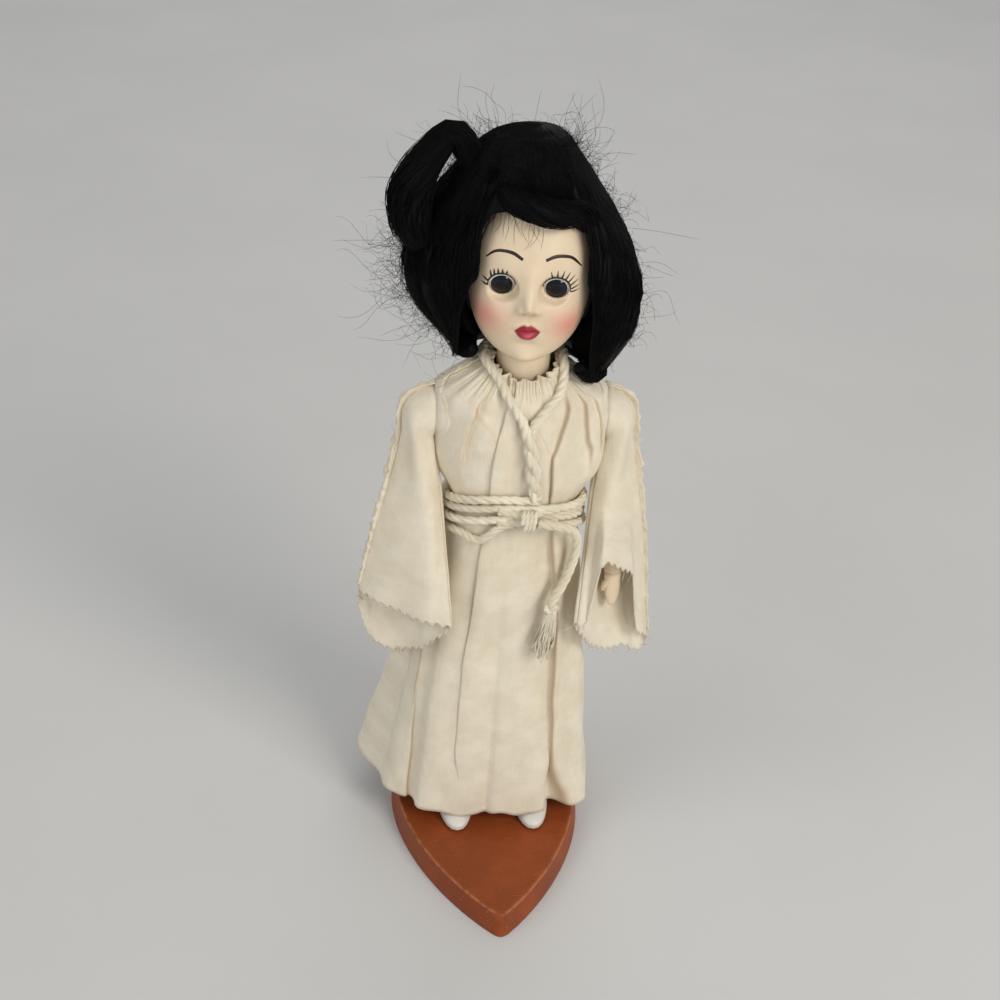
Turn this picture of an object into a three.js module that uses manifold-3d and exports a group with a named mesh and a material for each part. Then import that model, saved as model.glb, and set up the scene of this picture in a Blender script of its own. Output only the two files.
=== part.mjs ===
// A souvenir doll on its stand: a strung hard-plastic body with sleep eyes, a wig and a corded cotton gown.
// Millimetres, +Z up. The doll faces -Y, and its left hand is at +X.
// The origin is on the underside of the stand, below the doll's own upright axis.
import * as THREE from "three";
import { mergeVertices } from "three/addons/utils/BufferGeometryUtils.js";
import Module from "manifold-3d";

const wasm = await Module();
wasm.setup();

const degrees = THREE.MathUtils.degToRad;

// Clearances
const SEAT_GAP = 0.3; // between pieces that seat on each other
const GLUE_LINE = 0.2; // between the two halves of a moulding
const TURN_GAP = 0.4; // all round a piece that turns in a hole
const WIRE_GAP = 0.15; // all round a wire in its hole

// Stand: an arrow-nosed moulding, hollow below, with a rib along the middle and a peg for each foot
const STAND_HALF_WIDTH = 27.6;
const STAND_NOSE = 52.3; // ahead of the doll's axis
const STAND_HEEL = 24; // behind the doll's axis
const STAND_WIDEST = 3; // place of the widest section, behind the doll's axis
const STAND_HEIGHT = 6.5;
const STAND_DRAFT = 1.3;
const STAND_EDGE = 0.6;
const STAND_WALL = 1.9;
const STAND_TOP = 2.2;
const STAND_RIB = 5;
const STAND_OFFSET = -1.3; // the doll stands a little to one side of the middle
const PEG_RADIUS = 1.5;
const PEG_HEIGHT = 4;
const PEG_Y = -5;

// Body: torso, legs and shoes moulded in a front and a back half
const PLASTIC = 1.6;
const LEG_LENGTH = 76; // sole to crotch
const TORSO_LENGTH = 62.2; // crotch to neck seat
const SHOULDER_DROP = 9.5; // neck seat to arm axis
const SHOULDER_HALF = 19.7; // axis to the flat that an arm turns on
const CHEST_DEPTH = 11;
const WAIST_HALF = 11.5;
const HIP_HALF = 15.2;
const FOOT_SPREAD = 11; // axis to each foot
const LEG_SPREAD = 8.4; // axis to the top of each leg
const THIGH_RADIUS = 7.2;
const KNEE_RADIUS = 5.6;
const ANKLE_RADIUS = 4.2;
const SHOE_TOE = 18.3; // ahead of the axis
const SHOE_HEEL = 7; // behind the axis
const SHOE_HALF = 5.2;
const SHOE_TOE_HEIGHT = 3.5;

// Head: a face half and a back half, with the neck moulded on
const HEAD_ABOVE = 21; // middle to crown
const HEAD_BELOW = 23.5; // middle to chin
const HEAD_HALF = 15.3;
const HEAD_FRONT = 15.3;
const HEAD_BACK = 17;
const HEAD_PARTING = 1; // behind the axis
const HEAD_TURN = degrees(-8);
const NECK_LENGTH = 7.7; // neck seat to chin
const NECK_RADIUS = 6.8;
const NECK_PLUG_RADIUS = 4.6;
const NECK_PLUG_DEPTH = 4.6;

// Sleep eyes: two balls on one wire, turned by a hanging weight
const EYE_SPREAD = 6.5; // axis to each eye
const EYE_LEVEL = -0.9; // above the middle of the head
const EYE_RADIUS = 4.3;
const EYE_CENTRE_Y = -8.4;
const EYE_OPENING_HALF_WIDTH = 3.5;
const EYE_OPENING_HALF_HEIGHT = 2.8;
const EYE_WIRE_RADIUS = 0.5;
const WEIGHT_RADIUS = 2.4;
const WEIGHT_LENGTH = 7;
const WEIGHT_DROP = 9;
const BRACKET_HALF = 1.8; // axis to the outside of each ear
const BRACKET_EAR = 0.9;

// Arms: strung through the shoulders
const ARM_SHOULDER_RADIUS = 4.1;
const ARM_ELBOW_RADIUS = 3.2;
const ARM_WRIST_RADIUS = 2.4;
const ARM_UPPER = 26; // drop from the shoulder axis to the elbow
const ARM_LOWER = 19; // drop from the elbow to the wrist
const HAND_LENGTH = 10;
const ARM_PLUG_RADIUS = 3.4;
const ARM_PLUG_DEPTH = 2;

// Stringing: a rubber loop, pulled by a wire hook from the neck and from each arm
const BAND_RADIUS = 0.9;
const BAND_HALF_LENGTH = 11;
const BAND_HALF_WIDTH = 2.2;
const HOOK_WIRE_RADIUS = 0.55;
const HOOK_HEAD_RADIUS = 2;
const HOOK_HEAD_THICKNESS = 0.8;
const HOOK_WEB = 1.2;

// Gown: a front and a back panel, gathered at the neck and at the belt, and two wide sleeves
const CLOTH = 0.8;
const SHOULDER_EASE = 1;
const NECKLINE_EASE = 1;
const CHEST_EASE = 2.4;
const WAIST_GATHER = 4; // cloth that the belt bunches round the waist
const HEM_HEIGHT = 4.3; // hem above the stand's top
const HEM_RIGHT = 31; // axis to the hem, at the doll's right
const HEM_LEFT = 28;
const HEM_FRONT = 15.7;
const HEM_BACK = 26;
const ARMHOLE_RADIUS = 6.4;
const SLEEVE_LENGTH = 54; // shoulder axis to the front of the cuff
const CUFF_HALF_WIDTH = 14;
const CUFF_HALF_DEPTH = 7.4;
const CUFF_SLANT = degrees(33);
const CUFF_BACK_DROP = 18; // how far the back of the cuff hangs below its front
const LEFT_CUFF_OUTER_DROP = 15; // how far the outside of the left cuff hangs below its front
const LEFT_CUFF_NOTCH = 16; // how far the left cuff is cut up in front of the hand

// Cords
const CORD_RADIUS = 1.1;
const BELT_TURNS = 4;
const BELT_PITCH = 2.75;
const BELT_RISE = 5.2; // front of the belt above its sides
const KNOT_RADIUS = 2.3;
const TASSEL_LENGTH = 14;
const TASSEL_TOP_RADIUS = 1.4;
const TASSEL_END_RADIUS = 2.7;

// Wig
const WIG_CAP = 0.6;
const HAIR_TOP = 11.4; // above the crown
const HAIR_SIDE = 14.5; // beyond the side of the head
const HAIR_BACK = 9.5;
const HAIR_FRINGE = 3.4; // ahead of the forehead
const TEMPLE_RIGHT = 11.9; // edges of the opening for the face beside the brow and beside the cheeks
const TEMPLE_LEFT = 13.6;
const CHEEK_OPENING_HALF = 16.2;
const HAIRLINE = 17.3; // above the middle of the head
const LOCK_DEPTH = 0.7; // of the raised lock, as a share of its width
const FACET_SAG = 0.45; // by which a coarse round form falls short of a fine one
const HAIR_CLEARANCE = 1.3; // above the neck cord and the gown when the head turns

// Levels worked out from the sizes above
const SOLE_Z = STAND_HEIGHT + SEAT_GAP;
const CROTCH_Z = SOLE_Z + LEG_LENGTH;
const NECK_SEAT_Z = CROTCH_Z + TORSO_LENGTH;
const SHOULDER_Z = NECK_SEAT_Z - SHOULDER_DROP;
const WAIST_Z = CROTCH_Z + 0.42 * TORSO_LENGTH;
const CHIN_Z = NECK_SEAT_Z + NECK_LENGTH;
const HEAD_Z = CHIN_Z + HEAD_BELOW;
const HEM_Z = STAND_HEIGHT + HEM_HEIGHT;
const NECKLINE_Z = NECK_SEAT_Z + 5;
const GOWN_SHOULDER_HALF = SHOULDER_HALF + SHOULDER_EASE + CLOTH;
const SLEEVE_X = GOWN_SHOULDER_HALF + SEAT_GAP;
const HIDDEN = 200; // larger than the doll, for cutting blocks
const TAU = 2 * Math.PI;

const { clamp, lerp, smoothstep } = THREE.MathUtils;
const vec = (x, y, z) => new THREE.Vector3(x, y, z);
const bump = (distance, width) => Math.exp(-((distance / width) ** 2));

// Turns triangles of points into a closed geometry that faces outward.
function closedGeometry(points, faces) {
  const volume = faces.reduce((sum, [a, b, c]) => {
    const normal = points[b].clone().cross(points[c]);
    return sum + points[a].dot(normal);
  }, 0);
  const ordered = volume < 0 ? faces.map(([a, b, c]) => [a, c, b]) : faces;
  const geometry = new THREE.BufferGeometry().setFromPoints(points);
  geometry.setIndex(ordered.flat());
  geometry.computeVertexNormals();
  return geometry;
}

function quad(faces, a, b, c, d) {
  faces.push([a, b, c], [a, c, d]);
}

// A solid skinned over closed rings of points and capped at both ends.
function loft(rings) {
  const count = rings[0].length;
  const points = rings.flat();
  const faces = [];
  for (let k = 0; k + 1 < rings.length; k += 1) {
    for (let i = 0; i < count; i += 1) {
      const next = (i + 1) % count;
      quad(faces, k * count + i, k * count + next, (k + 1) * count + next, (k + 1) * count + i);
    }
  }
  const last = (rings.length - 1) * count;
  for (const [start, flip] of [[0, true], [last, false]]) {
    const centre = vec(0, 0, 0);
    for (let i = 0; i < count; i += 1) centre.addScaledVector(points[start + i], 1 / count);
    points.push(centre);
    for (let i = 0; i < count; i += 1) {
      const a = start + i;
      const b = start + ((i + 1) % count);
      faces.push(flip ? [points.length - 1, b, a] : [points.length - 1, a, b]);
    }
  }
  return closedGeometry(points, faces);
}

// A cloth solid between two grids of points. Closed grids run all the way round, as a sleeve does.
function cloth(outer, inner, closed) {
  const count = outer[0].length;
  const rows = outer.length;
  const points = [...outer.flat(), ...inner.flat()];
  const back = rows * count;
  const steps = closed ? count : count - 1;
  const faces = [];
  for (let k = 0; k + 1 < rows; k += 1) {
    for (let i = 0; i < steps; i += 1) {
      const a = k * count + i;
      const b = k * count + ((i + 1) % count);
      quad(faces, a, b, b + count, a + count);
      quad(faces, back + b, back + a, back + a + count, back + b + count);
    }
    if (!closed) {
      const left = k * count;
      const right = left + count - 1;
      quad(faces, left, left + count, back + left + count, back + left);
      quad(faces, right + count, right, back + right, back + right + count);
    }
  }
  const bottom = (rows - 1) * count;
  for (let i = 0; i < steps; i += 1) {
    const next = (i + 1) % count;
    quad(faces, next, i, back + i, back + next);
    quad(faces, bottom + i, bottom + next, back + bottom + next, back + bottom + i);
  }
  return closedGeometry(points, faces);
}

function toSolid(geometry) {
  const bare = geometry.clone();
  bare.deleteAttribute("normal");
  bare.deleteAttribute("uv");
  const merged = mergeVertices(bare, 1e-4);
  const mesh = new wasm.Mesh({
    numProp: 3,
    vertProperties: new Float32Array(merged.attributes.position.array),
    triVerts: new Uint32Array(merged.index.array),
  });
  return new wasm.Manifold(mesh);
}

function toGeometry(solid) {
  const mesh = solid.getMesh();
  const geometry = new THREE.BufferGeometry();
  geometry.setAttribute("position", new THREE.BufferAttribute(mesh.vertProperties, 3));
  geometry.setIndex(new THREE.BufferAttribute(mesh.triVerts, 1));
  geometry.computeVertexNormals();
  return geometry;
}

const block = (low, high) => {
  const size = high.clone().sub(low);
  const middle = high.clone().add(low).multiplyScalar(0.5);
  return toSolid(new THREE.BoxGeometry(size.x, size.y, size.z).translate(middle.x, middle.y, middle.z));
};

const uprightCylinder = (radius, low, high, sides = 20) => {
  const geometry = new THREE.CylinderGeometry(radius, radius, high - low, sides).rotateX(Math.PI / 2);
  return geometry.translate(0, 0, (low + high) / 2);
};

// A cylinder along X between two places.
const crossCylinder = (radius, from, to, sides = 20) => {
  const length = Math.abs(to - from);
  const geometry = new THREE.CylinderGeometry(radius, radius, length, sides).rotateZ(Math.PI / 2);
  return geometry.translate((from + to) / 2, 0, 0);
};

// The oval of a section: its reach at angle t, from the front (0) towards +X, with its own four reaches.
function ovalReach(t, { left, right, front, back, power = 2.2 }) {
  const across = Math.abs(Math.sin(t)) / (Math.sin(t) > 0 ? left : right);
  const along = Math.abs(Math.cos(t)) / (Math.cos(t) > 0 ? front : back);
  return (across ** power + along ** power) ** (-1 / power);
}

const ovalPoint = (t, reach, z, x = 0, y = 0) => vec(x + reach * Math.sin(t), y - reach * Math.cos(t), z);

function ovalRing(section, z, count, x = 0, y = 0) {
  return Array.from({ length: count }, (_, i) => {
    const t = (TAU * i) / count;
    return ovalPoint(t, ovalReach(t, section), z, x, y);
  });
}

const evenSection = (half, front, back = front) => ({ left: half, right: half, front, back });

// Values between stations, eased so that the profile has no corners.
function between(stations, at) {
  const last = stations.length - 1;
  let k = 0;
  while (k + 1 < last && at > stations[k + 1].at) k += 1;
  const share = clamp((at - stations[k].at) / (stations[k + 1].at - stations[k].at), 0, 1);
  const before = stations[Math.max(k - 1, 0)];
  const after = stations[Math.min(k + 2, last)];
  const result = {};
  for (const key of Object.keys(stations[0])) {
    const a = stations[k][key];
    const b = stations[k + 1][key];
    const span = stations[k + 1].at - stations[k].at;
    const slopeA = k > 0 ? ((b - before[key]) * span) / (stations[k + 1].at - before.at) : b - a;
    const slopeB = k + 1 < last ? ((after[key] - a) * span) / (after.at - stations[k].at) : b - a;
    const s2 = share * share;
    const s3 = s2 * share;
    const held = (2 * s3 - 3 * s2 + 1) * a + (-2 * s3 + 3 * s2) * b;
    result[key] = held + (s3 - 2 * s2 + share) * slopeA + (s3 - s2) * slopeB;
  }
  return result;
}

// A tube of even section along a curve, with flat ends.
function tube(curve, radius, sides, steps) {
  const section = new THREE.Shape();
  section.absarc(0, 0, radius, 0, TAU);
  const corners = section.getSpacedPoints(sides).slice(0, sides);
  const shape = new THREE.Shape(corners);
  return new THREE.ExtrudeGeometry(shape, { steps, bevelEnabled: false, extrudePath: curve });
}

const smoothCurve = (points) => new THREE.CatmullRomCurve3(points, false, "centripetal");

const root = new THREE.Group();
root.name = "souvenir_doll";
const head = new THREE.Group();
head.position.z = HEAD_Z;
head.rotation.z = HEAD_TURN;
root.add(head);

function addPart(group, name, geometry, finish) {
  const mesh = new THREE.Mesh(geometry, new THREE.MeshStandardMaterial(finish));
  mesh.name = name;
  group.add(mesh);
}

const FINISHES = {
  stand: { color: 0x8c421c, roughness: 0.42, metalness: 0 },
  skin: { color: 0xeed9c4, roughness: 0.4, metalness: 0 },
  eye: { color: 0x20262c, roughness: 0.15, metalness: 0 },
  wire: { color: 0x8d8f92, roughness: 0.4, metalness: 1 },
  lead: { color: 0x6a6d72, roughness: 0.6, metalness: 1 },
  rubber: { color: 0xb79a74, roughness: 0.8, metalness: 0 },
  cotton: { color: 0xe6dcc6, roughness: 0.9, metalness: 0 },
  cord: { color: 0xece4d0, roughness: 0.85, metalness: 0 },
  cap: { color: 0x24211f, roughness: 0.9, metalness: 0 },
  hair: { color: 0x0c0b0c, roughness: 0.45, metalness: 0 },
};

// Stand
function standOutline(inset) {
  const half = STAND_HALF_WIDTH - inset;
  const nose = -STAND_NOSE + 1.5 * inset;
  const heel = STAND_HEEL - inset;
  const tipRound = 2.6;
  const outline = new THREE.Shape();
  outline.moveTo(0, nose);
  outline.quadraticCurveTo(tipRound * 0.4, nose, tipRound, nose + tipRound * 0.58);
  outline.bezierCurveTo(0.53 * half, nose + 13, half, STAND_WIDEST - 21, half, STAND_WIDEST);
  outline.bezierCurveTo(half, STAND_WIDEST + 13, 0.55 * half, heel, 0, heel);
  outline.bezierCurveTo(-0.55 * half, heel, -half, STAND_WIDEST + 13, -half, STAND_WIDEST);
  outline.bezierCurveTo(-half, STAND_WIDEST - 21, -0.53 * half, nose + 13, -tipRound, nose + tipRound * 0.58);
  outline.quadraticCurveTo(-tipRound * 0.4, nose, 0, nose);
  return outline.getPoints(7).slice(0, -1);
}

const standRing = (inset, z) => standOutline(inset).map((p) => vec(p.x + STAND_OFFSET, p.y, z));

function makeStand() {
  const shell = toSolid(loft([
    standRing(0, 0),
    standRing(STAND_DRAFT, STAND_HEIGHT - STAND_EDGE),
    standRing(STAND_DRAFT + 0.3 * STAND_EDGE, STAND_HEIGHT - 0.3 * STAND_EDGE),
    standRing(STAND_DRAFT + STAND_EDGE, STAND_HEIGHT),
  ]));
  const ceiling = STAND_HEIGHT - STAND_TOP;
  const hollow = toSolid(loft([
    standRing(STAND_WALL, -1),
    standRing(STAND_WALL + STAND_DRAFT, ceiling),
  ]));
  const rib = block(vec(-STAND_RIB / 2, -HIDDEN, -2), vec(STAND_RIB / 2, HIDDEN, HIDDEN));
  let stand = shell.subtract(hollow.subtract(rib));
  for (const side of [-1, 1]) {
    const peg = uprightCylinder(PEG_RADIUS, STAND_HEIGHT - STAND_TOP / 2, STAND_HEIGHT + PEG_HEIGHT);
    stand = stand.add(toSolid(peg.translate(side * FOOT_SPREAD, PEG_Y, 0)));
  }
  addPart(root, "stand_base", toGeometry(stand), FINISHES.stand);
}

// Body
const torsoStations = (inset) => {
  const station = (share, half, front, back) => ({
    at: CROTCH_Z + share * TORSO_LENGTH, half: half - inset, front: front - inset, back: back - inset,
  });
  return [
    station(0.02, HIP_HALF - 2.4, CHEST_DEPTH - 3, CHEST_DEPTH - 2),
    station(0.15, HIP_HALF, CHEST_DEPTH - 1.6, CHEST_DEPTH + 0.2),
    station(0.42, WAIST_HALF, CHEST_DEPTH - 2.4, CHEST_DEPTH - 2.4),
    station(0.62, 0.5 * (WAIST_HALF + SHOULDER_HALF), CHEST_DEPTH - 0.6, CHEST_DEPTH - 1.6),
    station(0.78, SHOULDER_HALF, CHEST_DEPTH, CHEST_DEPTH - 1.2),
    station(0.88, SHOULDER_HALF + 0.4, CHEST_DEPTH - 0.8, CHEST_DEPTH - 1.6),
    station(0.94, SHOULDER_HALF - 1.8, CHEST_DEPTH - 2.4, CHEST_DEPTH - 2.4),
    station(0.975, SHOULDER_HALF - 6.4, CHEST_DEPTH - 3.2, CHEST_DEPTH - 3.2),
  ];
};

function torsoForm(inset, sides) {
  const stations = torsoStations(inset);
  const levels = [0.02, 0.15, 0.28, 0.42, 0.52, 0.62, 0.7, 0.78, 0.88, 0.915, 0.94, 0.975];
  const rings = levels.map((share) => {
    const z = CROTCH_Z + share * TORSO_LENGTH;
    const { half, front, back } = between(stations, z);
    return ovalRing(evenSection(half, front, back), z, sides);
  });
  const seat = NECK_RADIUS + 1 - inset;
  rings.push(ovalRing(evenSection(seat, seat), NECK_SEAT_Z - inset, sides));
  return toSolid(loft(rings));
}

function legForm(side, inset, sides) {
  const top = CROTCH_Z + 0.17 * TORSO_LENGTH;
  const knee = SOLE_Z + 0.5 * LEG_LENGTH;
  const ankle = SOLE_Z + 0.16 * LEG_LENGTH;
  const stations = [
    { at: ankle, x: FOOT_SPREAD, radius: ANKLE_RADIUS },
    { at: 0.45 * ankle + 0.55 * knee, x: lerp(FOOT_SPREAD, LEG_SPREAD, 0.3), radius: KNEE_RADIUS + 0.3 },
    { at: knee, x: lerp(FOOT_SPREAD, LEG_SPREAD, 0.5), radius: KNEE_RADIUS },
    { at: CROTCH_Z - 8, x: LEG_SPREAD, radius: THIGH_RADIUS },
    { at: top, x: LEG_SPREAD, radius: THIGH_RADIUS - 0.6 },
  ];
  const rows = 7;
  return toSolid(loft(Array.from({ length: rows }, (_, k) => {
    const z = lerp(ankle, top, k / (rows - 1));
    const { x, radius } = between(stations, z);
    return ovalRing(evenSection(radius - inset, radius - inset), z, sides, side * x, 1);
  })));
}

function shoeForm(side) {
  const toeTop = SOLE_Z + SHOE_TOE_HEIGHT;
  const ankle = SOLE_Z + 0.17 * LEG_LENGTH;
  const section = (half, front, back) => ({ left: half, right: half, front, back, power: 2.3 });
  const rows = [
    [SOLE_Z, section(SHOE_HALF - 0.7, SHOE_TOE - 1, SHOE_HEEL - 0.6)],
    [SOLE_Z + 1, section(SHOE_HALF, SHOE_TOE - 0.1, SHOE_HEEL)],
    [SOLE_Z + 0.6 * SHOE_TOE_HEIGHT, section(SHOE_HALF, SHOE_TOE - 0.3, SHOE_HEEL)],
    [toeTop - 0.5, section(SHOE_HALF - 0.4, SHOE_TOE - 1.8, SHOE_HEEL - 0.1)],
    [toeTop, section(SHOE_HALF - 0.9, SHOE_TOE - 3.8, SHOE_HEEL - 0.2)],
    [toeTop + 1.6, section(SHOE_HALF - 0.8, SHOE_TOE - 8.6, SHOE_HEEL - 0.5)],
    [ankle - 3, section(ANKLE_RADIUS + 0.2, ANKLE_RADIUS + 1.2, ANKLE_RADIUS + 1.5)],
    [ankle + 1, section(ANKLE_RADIUS - 0.1, ANKLE_RADIUS - 1.1, ANKLE_RADIUS + 0.9)],
  ];
  return toSolid(loft(rows.map(([z, oval]) => ovalRing(oval, z, 14, side * FOOT_SPREAD, 0))));
}

function bodyForm() {
  let body = torsoForm(0, 20);
  let hollow = torsoForm(PLASTIC, 14);
  for (const side of [-1, 1]) {
    body = body.add(legForm(side, 0, 12)).add(shoeForm(side));
    hollow = hollow.add(legForm(side, PLASTIC, 8));
    const beyond = block(vec(SHOULDER_HALF, -HIDDEN, -HIDDEN), vec(HIDDEN, HIDDEN, HIDDEN));
    body = body.subtract(side > 0 ? beyond : beyond.mirror([1, 0, 0]));
  }
  body = body.subtract(hollow);
  const neckHole = uprightCylinder(NECK_PLUG_RADIUS + TURN_GAP, NECK_SEAT_Z - 2 * PLASTIC, NECK_SEAT_Z + 5);
  body = body.subtract(toSolid(neckHole));
  const armHole = crossCylinder(ARM_PLUG_RADIUS + TURN_GAP, -HIDDEN, HIDDEN).translate(0, 0, SHOULDER_Z);
  body = body.subtract(toSolid(armHole));
  for (const side of [-1, 1]) {
    const socket = uprightCylinder(PEG_RADIUS + SEAT_GAP, SOLE_Z - 1, STAND_HEIGHT + PEG_HEIGHT + SEAT_GAP);
    body = body.subtract(toSolid(socket.translate(side * FOOT_SPREAD, PEG_Y, 0)));
  }
  return body;
}

const aheadOf = (y) => block(vec(-HIDDEN, -HIDDEN, -HIDDEN), vec(HIDDEN, y, HIDDEN));
const behind = (y) => block(vec(-HIDDEN, y, -HIDDEN), vec(HIDDEN, HIDDEN, HIDDEN));

function makeBody() {
  const body = bodyForm();
  addPart(root, "body_front_half", toGeometry(body.intersect(aheadOf(-GLUE_LINE / 2))), FINISHES.skin);
  addPart(root, "body_back_half", toGeometry(body.intersect(behind(GLUE_LINE / 2))), FINISHES.skin);
}

// Head: sections by height above its middle, and the moulded features of the face
function headSection(level, grow) {
  const low = level < 0;
  const half = (low ? HEAD_BELOW : HEAD_ABOVE) + grow;
  const share = Math.min(Math.abs(level / half), 0.9999);
  const round = (power) => (1 - share ** power) ** (1 / power);
  const width = (HEAD_HALF + grow) * round(low ? 2.4 : 2.1);
  return {
    left: width,
    right: width,
    front: (HEAD_FRONT + grow) * round(low ? 3.2 : 2.2),
    back: (HEAD_BACK + grow) * round(2),
  };
}

function faceRelief(x, z) {
  const side = Math.abs(x);
  const noseLevel = -4.9;
  const nose = 3.4 * bump(x, 1.9) * bump(z - noseLevel, z > noseLevel ? 4.2 : 1.5);
  const upperLip = 0.9 * bump(x, 2.6) * bump(z + 10.6, 1);
  const lowerLip = 1 * bump(x, 2.2) * bump(z + 12.9, 1.1);
  const chin = 2.4 * bump(x, 4.2) * bump(z + HEAD_BELOW - 2.8, 2.4);
  const cheek = 0.8 * bump(side - 8.2, 3.6) * bump(z + 8, 3.6);
  const socket = 1.2 * bump(side - EYE_SPREAD, 3.4) * bump(z - EYE_LEVEL, 2.8);
  return nose + upperLip + lowerLip + chin + cheek - socket;
}

// Ring angles are closer together across the face than round the back.
function headForm(grow, { sides = 20, rows = 11, relief = false } = {}) {
  const rings = Array.from({ length: rows }, (_, k) => {
    const rise = Math.sin(lerp(-0.94, 0.95, k / (rows - 1)) * (Math.PI / 2));
    const level = rise * ((rise < 0 ? HEAD_BELOW : HEAD_ABOVE) + grow);
    const section = headSection(level, grow);
    return Array.from({ length: sides }, (__, i) => {
      const u = (TAU * i) / sides;
      const t = relief ? u - 0.62 * Math.sin(u) : u;
      const point = ovalPoint(t, ovalReach(t, section), level);
      if (relief && point.y < 0) {
        const facing = smoothstep(-point.y, 2, 8);
        point.y -= facing * faceRelief(point.x, level);
      }
      return point;
    });
  });
  return toSolid(loft(rings));
}

const eyeOpening = () => {
  const outline = new THREE.Shape();
  outline.absellipse(0, 0, EYE_OPENING_HALF_WIDTH, EYE_OPENING_HALF_HEIGHT, 0, TAU);
  const corners = outline.getSpacedPoints(16).slice(0, 16);
  const prism = new THREE.ExtrudeGeometry(new THREE.Shape(corners), { depth: 20, bevelEnabled: false });
  return prism.rotateX(Math.PI / 2).translate(0, EYE_CENTRE_Y, EYE_LEVEL);
};

const ball = (radius, across = 18, up = 12) => new THREE.SphereGeometry(radius, across, up);

function makeHead() {
  const chin = -HEAD_BELOW;
  const seat = chin - NECK_LENGTH + SEAT_GAP;
  const plugEnd = seat - NECK_PLUG_DEPTH;
  const neck = toSolid(uprightCylinder(NECK_RADIUS, seat, chin + 6, 24))
    .add(toSolid(uprightCylinder(NECK_PLUG_RADIUS, plugEnd, seat + 1, 24)));
  const bore = toSolid(uprightCylinder(NECK_PLUG_RADIUS - PLASTIC, plugEnd + HOOK_WEB, chin + 8, 16));
  const wireHole = toSolid(uprightCylinder(HOOK_WIRE_RADIUS + TURN_GAP, plugEnd - 1, plugEnd + 2, 12));
  let shell = headForm(0, { sides: 32, rows: 19, relief: true }).add(neck);
  shell = shell.subtract(headForm(-PLASTIC).add(bore).add(wireHole));
  for (const side of [-1, 1]) {
    const x = side * EYE_SPREAD;
    shell = shell.subtract(toSolid(eyeOpening().translate(x, 0, 0)));
    shell = shell.subtract(toSolid(ball(EYE_RADIUS + TURN_GAP, 12, 8).translate(x, EYE_CENTRE_Y, EYE_LEVEL)));
  }
  const face = shell.intersect(aheadOf(HEAD_PARTING - GLUE_LINE / 2));
  const rear = shell.intersect(behind(HEAD_PARTING + GLUE_LINE / 2));
  addPart(head, "head_face_half", toGeometry(face), FINISHES.skin);
  addPart(head, "head_back_half", toGeometry(rear), FINISHES.skin);
}

// Sleep eyes
const eyeFrame = (geometry) => geometry.translate(0, EYE_CENTRE_Y, EYE_LEVEL);

function makeEyes() {
  const wireEnd = EYE_SPREAD - 0.25 * EYE_RADIUS;
  const wireHole = crossCylinder(EYE_WIRE_RADIUS + WIRE_GAP, -wireEnd - SEAT_GAP, wireEnd + SEAT_GAP, 10);
  for (const [name, side] of [["eye_right", -1], ["eye_left", 1]]) {
    const eyeball = toSolid(ball(EYE_RADIUS, 14, 9).translate(side * EYE_SPREAD, 0, 0));
    addPart(head, name, eyeFrame(toGeometry(eyeball.subtract(toSolid(wireHole)))), FINISHES.eye);
  }
  const wire = toSolid(crossCylinder(EYE_WIRE_RADIUS, -wireEnd, wireEnd, 10));
  const stem = toSolid(uprightCylinder(EYE_WIRE_RADIUS, -WEIGHT_DROP, 0, 10));
  addPart(head, "eye_wire", eyeFrame(toGeometry(wire.add(stem))), FINISHES.wire);

  const weight = toSolid(crossCylinder(WEIGHT_RADIUS, -WEIGHT_LENGTH / 2, WEIGHT_LENGTH / 2)
    .translate(0, 0, -WEIGHT_DROP));
  const stemHole = uprightCylinder(EYE_WIRE_RADIUS + WIRE_GAP, -WEIGHT_DROP - SEAT_GAP, 0, 10);
  addPart(head, "eye_weight", eyeFrame(toGeometry(weight.subtract(toSolid(stemHole)))), FINISHES.lead);

  const noseWall = -(HEAD_FRONT - PLASTIC) - EYE_CENTRE_Y;
  const earHalf = 1.6;
  let bracket = block(vec(-BRACKET_HALF, noseWall + SEAT_GAP, -earHalf), vec(BRACKET_HALF, earHalf, earHalf));
  const slot = BRACKET_HALF - BRACKET_EAR;
  bracket = bracket.subtract(block(vec(-slot, noseWall + 2, -HIDDEN), vec(slot, HIDDEN, HIDDEN)));
  bracket = bracket.subtract(toSolid(wireHole));
  addPart(head, "eye_bracket", eyeFrame(toGeometry(bracket)), FINISHES.wire);
}

// The middle line of a sleeve, with the tilt, the slant and the reaches of its section
const sleeveStations = () => {
  const radius = ARMHOLE_RADIUS;
  const length = SLEEVE_LENGTH;
  const station = (at, out, ahead, drop, tilt, slant, wide, deep) => ({
    at,
    x: SLEEVE_X + out * radius,
    y: -ahead * length,
    drop: drop * length,
    tilt: tilt * (Math.PI / 2),
    slant: slant * CUFF_SLANT,
    wide,
    deep,
  });
  return [
    station(0, 0, 0, 0, 0, 0, radius, radius),
    station(0.1, 0.5, 0.005, 0.05, 0.4, 0, 0.98 * radius, 0.98 * radius),
    station(0.22, 0.57, 0.022, 0.17, 0.75, 0.1, 0.76 * radius, 0.95 * radius),
    station(0.42, 0.66, 0.067, 0.39, 1, 0.4, 1.05 * radius, 1.04 * radius),
    station(0.7, 0.86, 0.145, 0.685, 1, 0.8, 1.6 * radius, 1.11 * radius),
    station(1, 1, 0.215, 1, 1, 1, CUFF_HALF_WIDTH, CUFF_HALF_DEPTH),
  ];
};

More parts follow.
